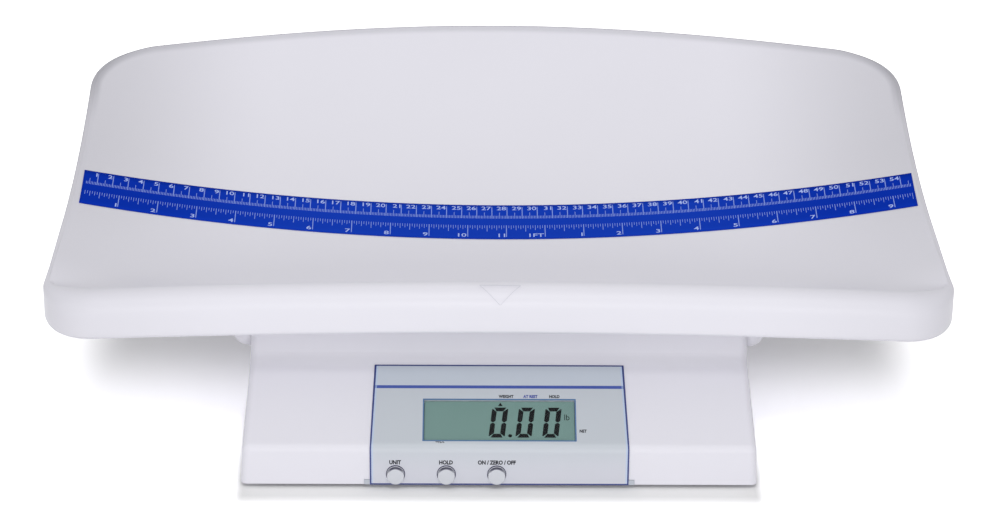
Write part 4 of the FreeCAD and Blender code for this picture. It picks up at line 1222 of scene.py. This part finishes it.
# ------------------------------------------------------------------ display panel
@dataclass(frozen=True)
class PanelFilm(Finish):
    """The panel's printed film: a dark outline, a rule under the header and the window's frame."""

    panel: "DisplayPanel"
    line: float = 0.0009
    frame_part: float = 0.9
    glow_part: float = 2.2
    rule_at: Pair = (0.0425, 0.0447)
    ground_at: Pair = (-0.011, 0.003)
    ground: Colour = (0.530, 0.567, 0.616)
    # painted light: the film is paler on the upright band than on the sloping face
    band: Colour = (0.615, 0.622, 0.688)
    header: Colour = (0.535, 0.585, 0.658)
    cloud: Colour = (0.50, 0.54, 0.61)
    rule: Colour = (0.045, 0.085, 0.360)
    edge: Colour = (0.030, 0.045, 0.200)
    inner: Colour = (0.42, 0.56, 0.82)
    frame_ink: Colour = (0.075, 0.165, 0.330)
    cloud_scale: float = 14.0
    cloud_part: float = 0.08
    scale, rough, depth = 1800.0, (0.40, 0.50), 0.000012

    def look(self, paint: Paint) -> dict[str, Any]:
        """Mask the lines by the distance up the sloping face and by x.

        Args:
            paint: the material being built.

        Returns:
            The values of the shader's sockets.
        """
        p = self.panel
        x, y, z = paint.place()
        up = (y - p.front) * math.cos(p.slope) + (z - p.corner_z) * math.sin(p.slope)
        rise = p.top * math.sin(p.slope)
        share = paint.ease(z, p.corner_z, p.corner_z + rise, "LINEAR")
        half = p.half_low - share * (p.half_low - p.half_top)
        outline = (abs(x) > half - self.line) | (up > p.top - self.line) | (z < p.base_z + self.line)
        wide = self.line * self.frame_part
        border = (abs(x) < p.window_half + wide) * up.between(p.window_low - wide, p.window_top + wide)
        glow = (abs(x) > half - self.line * self.glow_part) * (up < p.top - self.line)
        # painted light: paler on the upright band
        colour = paint.mix(paint.ease(up, *self.ground_at), self.band, self.ground)
        cloud = paint.noise(self.cloud_scale, 3.0) * self.cloud_part
        for mask, ink in ((up > self.rule_at[1], self.header), (cloud, self.cloud),
                          (border, self.frame_ink), (up.between(*self.rule_at), self.rule),
                          (glow * 0.5, self.inner), (outline, self.edge)):
            colour = paint.mix(mask, colour, ink)
        return {"Base Color": colour, **self.textured(paint)[1]}


# Each row has the words, their middle's x, how far up they stand, and a capital letter's height.
FACE_WORDS = (("WEIGHT", 0.0041, 0.0357, 0.0020), ("HOLD", 0.0335, 0.0357, 0.0020),
              ("NET", 0.0505, 0.0108, 0.0020), ("ZERO", -0.0360, 0.0022, 0.0018))
NOTE_WORDS = (("AT REST", 0.0189, 0.0357, 0.0020),)
BAND_WORDS = (("UNIT", -0.0628, 0.0136, 0.0025), ("HOLD", -0.0322, 0.0136, 0.0025),
              ("ON / ZERO / OFF", -0.0016, 0.0136, 0.0025))


@dataclass
class DisplayPanel:
    """The sloping panel: its film, lettering, the display and the three buttons."""

    slope: float = math.radians(33.0)
    band: float = 0.0239
    proud: float = 0.0009
    half_low: float = 0.07805
    half_top: float = 0.07615
    top: float = 0.0598
    window_half: float = 0.0457
    window_low: float = 0.0051
    window_top: float = 0.0342
    display_depth: float = 0.0005
    corner_round: float = 0.0069
    digit_height: float = 0.0216
    digit_width: float = 0.0098
    digit_pitch: float = 0.0162
    digit_slant: float = 0.115
    segment_gap: float = 0.00022
    bar: float = 0.0030
    flat_bar: float = 0.0027
    first_digit: float = -0.0006
    cap_radius: float = 0.0052
    hole_radius: float = 0.00545
    outline: float = 0.0003
    crescent: float = 0.0004
    face_wide: float = 0.80
    band_wide: float = 0.84
    bold: float = 0.045
    bias: float = 0.35
    shoulder: Pair = (0.4, 0.7)
    digit_low: float = 0.0079
    point_at: Pair = (0.0064, 0.0092)
    point_radius: float = 0.0012
    arrow_at: Pair = (0.0006, 0.0314)
    arrow_radius: float = 0.0017
    unit_at: Pair = (0.0409, 0.0205)
    unit_height: float = 0.0042
    unit_wide: float = 0.85
    word_lift: float = 0.00003
    recess_lift: float = 0.00002
    buttons: tuple[str, ...] = ("unit_button", "hold_button", "zero_button")

    def __post_init__(self) -> None:
        """Take the panel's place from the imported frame."""
        self.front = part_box("upper_housing")[0][1]
        self.base_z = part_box("display_bezel")[0][2]
        self.corner_z = self.base_z + self.band

    def on_face(self, flat: np.ndarray, out: float) -> np.ndarray:
        """Carry (x, up the face) to the sloping face, at a distance out of it.

        Near the lower corner the face bends over with radius R, so a point there sinks by
        R - sqrt(R^2 - t^2), where t is how far it lies past the start of the bend.

        Args:
            flat: rows of (x, up the face).
            out: the distance out of the face.

        Returns:
            The points in place.
        """
        x, up = flat[:, 0], flat[:, 1]
        bend = self.corner_round * math.tan((math.pi / 2 - self.slope) / 2)
        past = np.maximum(bend - up, 0.0)
        out = out - self.corner_round + np.sqrt(self.corner_round ** 2 - past ** 2)
        c, s = math.cos(self.slope), math.sin(self.slope)
        return np.stack([x, self.front + up * c - out * s, self.corner_z + up * s + out * c], -1)

    def on_band(self, flat: np.ndarray, out: float) -> np.ndarray:
        """Carry (x, z) to the upright band, at a distance out of it."""
        x = flat[:, 0]
        return np.stack([x, np.full_like(x, self.front - out), flat[:, 1]], -1)

    def build(self) -> None:
        """Dress the panel's pieces and print its lettering."""
        finishes = {"display_overlay": PanelFilm("panel_film", self),
                    "lcd_glass": DisplayGlass("display_polariser", self.window_half),
                    "display_window": ClearPane("window_pane")}
        for name in self.buttons:
            finishes[name] = ButtonPlastic(f"{name}_plastic", self.cap_middle(name), self.cap_radius)
        for name, finish in finishes.items():
            dress(frame["nodes"][name], finish.build())
        self.lettering()
        self.recesses()
        self.digits()

    def lettering(self) -> None:
        """Print the generic words on the face and on the band."""
        lift = self.proud + self.word_lift
        for name, rows, place, start, wide, ink in (
                ("face_words", FACE_WORDS, self.on_face, 0.0, self.face_wide, Ink.BLACK),
                ("face_note", NOTE_WORDS, self.on_face, 0.0, self.face_wide, Ink.BLUE),
                ("band_words", BAND_WORDS, self.on_band, self.base_z, self.band_wide, Ink.BLACK)):
            lines = Print(name, functools.partial(place, out=lift))
            for words, x, up, height in rows:
                lines.words(words, (x, start + up), height, wide=wide, weight=self.bold)
            lines.piece(ink, "panel_film")

    def cap_middle(self, name: str) -> Pair:
        """Return the x and z of a button's middle."""
        low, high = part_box(name)
        return (low[0] + high[0]) / 2, (low[2] + high[2]) / 2

    def recesses(self) -> None:
        """Line each button's hole with a thin dark ring for its gap, widened over its top by painted
        shade.
        """
        shade = Print("button_recess_shade", lambda flat: self.on_band(flat, self.proud + self.recess_lift))
        steps, hole = 48, self.hole_radius
        turn = round_turn(steps)
        # painted shade: each ring widens over the top of its hole
        width = self.outline + self.crescent * np.maximum(turn[:, 1:], 0.0)
        for name in self.buttons:
            rings = np.concatenate([turn * (hole + width), turn * hole])
            shade.shapes.append((rings + np.array(self.cap_middle(name)), grid_faces(2, steps, True)))
        shade.piece(Ink.SHADE, "panel_film")

    def segments(self) -> list[np.ndarray]:
        """Return the six bars of a nought as flat outlines, before they slant.

        Each bar is a strip along one side of the figure whose ends are cut on the bias.
        """
        w, h, b = self.digit_width, self.digit_height, self.bar
        gap, middle, cut = self.segment_gap, self.digit_height / 2, self.bar * self.bias
        flat = self.flat_bar
        top = np.array([(cut + gap, h), (w - cut - gap, h), (w - b + gap, h - flat),
                        (b - gap, h - flat)])
        shoulder = (cut * self.shoulder[0], h - cut * self.shoulder[1] - gap)
        upper = np.array([(0, h - cut - gap), shoulder, (b - gap, h - flat - gap),
                          (b, h - flat - 2 * gap), (b, middle + cut + gap), (b - cut, middle + gap),
                          (cut, middle + gap), (0, middle + cut + gap)])
        flip_x, flip_y = np.array([-1.0, 1.0]), np.array([1.0, -1.0])
        shift_x, shift_y = np.array([w, 0.0]), np.array([0.0, h])
        upper_right = (upper * flip_x + shift_x)[::-1]
        lower, lower_right = [(p * flip_y + shift_y)[::-1] for p in (upper, upper_right)]
        return [top[::-1], (top[::-1] * flip_y + shift_y)[::-1], upper[::-1], upper_right[::-1],
                lower[::-1], lower_right[::-1]]

    def digits(self) -> None:
        """Show 0.00 and lb on the display."""
        out = INK_LIFT - self.display_depth
        show = Print("display_digits", lambda flat: self.on_face(flat, out))
        for k in range(3):
            centre = self.first_digit + k * self.digit_pitch
            for bar in self.segments():
                lean = (bar[:, 1] - self.digit_height / 2) * self.digit_slant
                x = bar[:, 0] - self.digit_width / 2 + lean + centre
                show.shapes.append((np.stack([x, bar[:, 1] + self.digit_low], -1),
                                    [list(range(len(bar)))]))
        show.disc(self.point_at, self.point_radius)
        show.disc(self.arrow_at, self.arrow_radius, 3)
        show.words("lb", self.unit_at, self.unit_height, wide=self.unit_wide)
        show.piece(Ink.SEGMENT, "lcd")


# ------------------------------------------------------------------ the other pieces
class Dressing:
    """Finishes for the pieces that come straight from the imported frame, by material slot."""

    def __init__(self) -> None:
        """Build the finishes."""
        low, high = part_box("batteries")
        band = (high[1] - (high[1] - low[1]) * BAND_SHARE, high[1])
        finishes = {"white_shell": MouldedPlastic("white_shell", WHITE),
                    "panel_plastic": MouldedPlastic("panel_bezel", (0.52, 0.55, 0.61)),
                    "black_plastic": MouldedPlastic("black_plastic", (0.020, 0.020, 0.022)),
                    "zinc_steel": PlainMetal("zinc_steel", (0.58, 0.59, 0.61)),
                    "cell_aluminium": PlainMetal("milled_aluminium", (0.74, 0.75, 0.76), 0.28),
                    "contact_metal": PlainMetal("nickel_contact", (0.72, 0.70, 0.66), 0.22),
                    "foot_rubber": SoftRubber("foot_rubber", (0.030, 0.030, 0.032)),
                    "lead_sheath": SoftRubber("lead_sheath", (0.045, 0.045, 0.048)),
                    "board_laminate": BoardLaminate("board_laminate"),
                    "battery_jacket": BatteryJacket("battery_jacket", band)}
        self.by_slot = {slot: finish.build() for slot, finish in finishes.items()}

    def apply(self) -> None:
        """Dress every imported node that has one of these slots."""
        for part in frame["record"]["subparts"]:
            finish = self.by_slot.get(part["material_slot"])
            if finish:
                dress(frame["nodes"][part["node"]], finish)


def copy_packed(node: str, name: str, material: Material, body: str = "") -> Piece:
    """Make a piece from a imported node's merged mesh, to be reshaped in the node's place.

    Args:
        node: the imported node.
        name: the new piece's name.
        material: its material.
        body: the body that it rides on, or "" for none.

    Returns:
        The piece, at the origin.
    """
    packed = frame["nodes"][node]
    mesh = packed.data.copy()
    mesh.transform(packed.matrix_world)
    if "custom_normal" in mesh.attributes:
        mesh.attributes.remove(mesh.attributes["custom_normal"])
    loose = bmesh.new()
    loose.from_mesh(mesh)
    bmesh.ops.remove_doubles(loose, verts=loose.verts, dist=MERGE_DISTANCE)
    loose.to_mesh(mesh)
    loose.free()
    mesh.polygons.foreach_set("use_smooth", [True] * len(mesh.polygons))
    mesh.set_sharp_from_angle(angle=SHARP_ANGLE)
    piece = add_object(name, mesh)
    settle(piece, material, body, node)
    return piece


@dataclass
class LoadCell:
    """The bar that carries the deck, copied from the imported node."""

    half_flex: float = 0.018

    def build(self, metal: Material) -> None:
        """Make the bar from the imported node's merged mesh, in the node's place.

        Args:
            metal: the bar's material.
        """
        bar = copy_packed("load_cell", "load_cell_bar", metal)
        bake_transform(bar)


@dataclass
class Platform:
    """The pan under the tray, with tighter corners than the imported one."""

    packed_corner: float = 0.028
    corner: float = 0.012
    floor_drop: float = 0.001
    floor_part: float = 0.012
    side_slack: float = 0.0002
    core_slack: float = 0.0005

    def build(self, finish: Material) -> None:
        """Draw each corner's arcs out: a point at distance d from the arc's middle goes to d - cut.

        The arc's middle moves out by the same cut along both sides.

        Args:
            finish: the pan's material.
        """
        pan = copy_packed("weighing_platform", "platform_pan", finish, DECK)
        low, high = [np.array(corner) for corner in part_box("weighing_platform")]
        points = read_points(pan.data)
        middle, inner = (low + high)[:2] / 2, (high - low)[:2] / 2 - self.packed_corner
        offset = points[:, :2] - middle
        run, cut = np.abs(offset) - inner, self.packed_corner - self.corner
        far = np.hypot(*run.T)
        on_arc = (run > -self.side_slack).all(1) & (far > cut + self.core_slack)
        drawn = inner + cut + run * (1 - cut / np.maximum(far, cut))[:, None]
        points[on_arc, :2] = (middle + np.sign(offset) * drawn)[on_arc]
        points[points[:, 2] < low[2] + self.floor_part, 2] -= self.floor_drop
        pan.data.vertices.foreach_set("co", points.ravel())
        pan.data.update()


# ------------------------------------------------------------------ studio
@dataclass(frozen=True)
class Lamp:
    """A rectangular soft lamp: its place, the point that it faces, its size and its watts."""

    name: str
    place: Triple
    aim: Triple
    size: Pair
    power: float

    def hang(self) -> None:
        """Add the lamp to the scene."""
        data = bpy.data.lights.new(self.name, "AREA")
        data.shape = "RECTANGLE"
        data.size, data.size_y = self.size
        data.energy = self.power
        lamp = add_object(self.name, data)
        lamp.location = self.place
        facing = Vector(self.aim) - Vector(self.place)
        lamp.rotation_euler = facing.to_track_quat("-Z", "Y").to_euler()


LAMPS = (Lamp("low_key", (0.0, -2.4, 0.45), (0, 0, 0.08), (1.4, 0.5), 14.5),
         Lamp("high_key", (0.0, -1.4, 2.0), (0, 0, 0.08), (1.2, 0.8), 13.0),
         Lamp("overhead", (0.0, 0.45, 1.1), (0, 0.05, 0.1), (0.4, 0.3), 1.25),
         Lamp("left_fill", (-1.9, -1.4, 0.9), (0, 0, 0.08), (0.8, 0.8), 1.6))


@dataclass(frozen=True)
class FloorShade:
    """A painted shadow on the floor: how dark, and where it eases in at its sides, front and back."""

    depth: float
    sides: Pair
    front: Pair
    back: Pair

    def level(self, paint: Paint) -> Wire:
        """Multiply the eased edges.

        Args:
            paint: the floor's material.

        Returns:
            The patch's darkness, 0 outside it.
        """
        x, y, _ = paint.place()
        patch = (1 - paint.ease(abs(x), *self.sides)) * paint.ease(y, *self.front)
        return patch * (1 - paint.ease(y, *self.back)) * self.depth


@dataclass
class Studio:
    """A pale floor, soft lamps and the camera."""

    sky_light: float = 0.464
    floor_half: float = 6.0
    floor_pale: Colour = (0.90, 0.90, 0.90)
    floor_grain: Colour = (0.78, 0.78, 0.78)
    grain_scale: float = 3.0
    grain_part: float = 0.02
    floor_seen: float = 2.5
    # painted shadows: under the tray, and in a strip in front of the base
    under: FloorShade = FloorShade(1.38, (0.245, 0.310), (-0.095, 0.045), (0.20, 0.32))
    front: FloorShade = FloorShade(1.55, (0.154, 0.166), (-0.238, -0.2085), (0.077, 0.10))
    target: Triple = (0.0, 0.00175, 0.0991)
    distance: float = 1.7848
    elevation: float = math.radians(20.542)
    turn: float = math.radians(0.776)
    roll: float = math.radians(0.491)
    shift_right: float = -0.0019837
    shift_up: float = 0.0257233
    lens: float = 97.2
    sensor: float = 36.0

    def camera(self) -> None:
        """Place the camera: back along its view from the target, moved square to it, then rolled."""
        a, g = self.elevation, self.turn
        ahead = np.array([math.sin(g) * math.cos(a), math.cos(g) * math.cos(a), -math.sin(a)])
        right = np.array([math.cos(g), -math.sin(g), 0.0])
        up = np.cross(right, ahead)
        place = np.array(self.target) - self.distance * ahead
        place = place - self.shift_right * right - self.shift_up * up
        c, s = math.cos(self.roll), math.sin(self.roll)
        right, up = c * right + s * up, c * up - s * right
        data = bpy.data.cameras.new("camera")
        data.lens, data.sensor_width = self.lens, self.sensor
        camera = add_object("camera", data)
        matrix = np.eye(4)
        matrix[:3] = np.stack([right, up, -ahead, place], -1)
        camera.matrix_world = Matrix(matrix.tolist())
        bpy.context.scene.camera = camera

    def seen(self, paint: Paint) -> Wire:
        """Return 1 for the rays that show the background, in the camera, a gloss or a glass."""
        path = paint.node("LightPath")
        return path.out("Is Camera Ray") | path.out("Is Glossy Ray") | path.out("Is Transmission Ray")

    def sky(self) -> None:
        """Fill the studio with even light, and show white where a ray reaches nothing."""
        paint = Paint(bpy.data.worlds.new("studio"))
        strength = self.seen(paint) * (1 - self.sky_light) + self.sky_light
        bpy.context.scene.world = paint.close(
            "Background", {"Color": (1.0, 1.0, 1.0), "Strength": strength}, "World")

    def floor(self) -> None:
        """Lay a pale floor that is lifted to white for the camera but keeps its shadows, with painted
        shadows under the tray and in front of the base.
        """
        points = np.array([(-1, -1, 0), (1, -1, 0), (1, 1, 0), (-1, 1, 0)]) * self.floor_half
        ground = make_piece("studio_floor", points, [[0, 1, 2, 3]], smooth=False)
        paint = Paint(bpy.data.materials.new("studio_floor"))
        # the painted shadows darken the floor that the camera sees
        level = self.floor_seen - (self.under.level(paint) | self.front.level(paint))
        lifted = paint.node("CombineXYZ", {0: level, 1: level, 2: level})
        grain = paint.noise(self.grain_scale) * self.grain_part
        colour = paint.mix(grain, self.floor_pale, self.floor_grain)
        bright = paint.mix(self.seen(paint), colour, lifted)
        dress(ground, paint.close("BsdfDiffuse", {"Color": bright}))

    def build(self) -> None:
        """Set up the whole studio."""
        bpy.context.scene.view_settings.view_transform = "Standard"
        self.camera()
        self.sky()
        for lamp in LAMPS:
            lamp.hang()
        self.floor()


def main() -> None:
    """Build every sub-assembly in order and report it."""
    logging.basicConfig(level=logging.INFO, format="%(message)s")
    dressing = Dressing()
    dressing.apply()
    LOG.info("dressed %d packed nodes", len(frame["nodes"]))
    tray = Tray()
    tray.build(TrayPlastic("tray_plastic", WHITE, tray=tray).build())
    LOG.info("tray built")
    RulerTape(tray).build()
    LOG.info("ruler built")
    DisplayPanel().build()
    LOG.info("panel built")
    LoadCell().build(dressing.by_slot["cell_aluminium"])
    Platform().build(dressing.by_slot["white_shell"])
    LOG.info("load cell and platform built")
    Studio().build()


if __name__ == "__main__":
    main()
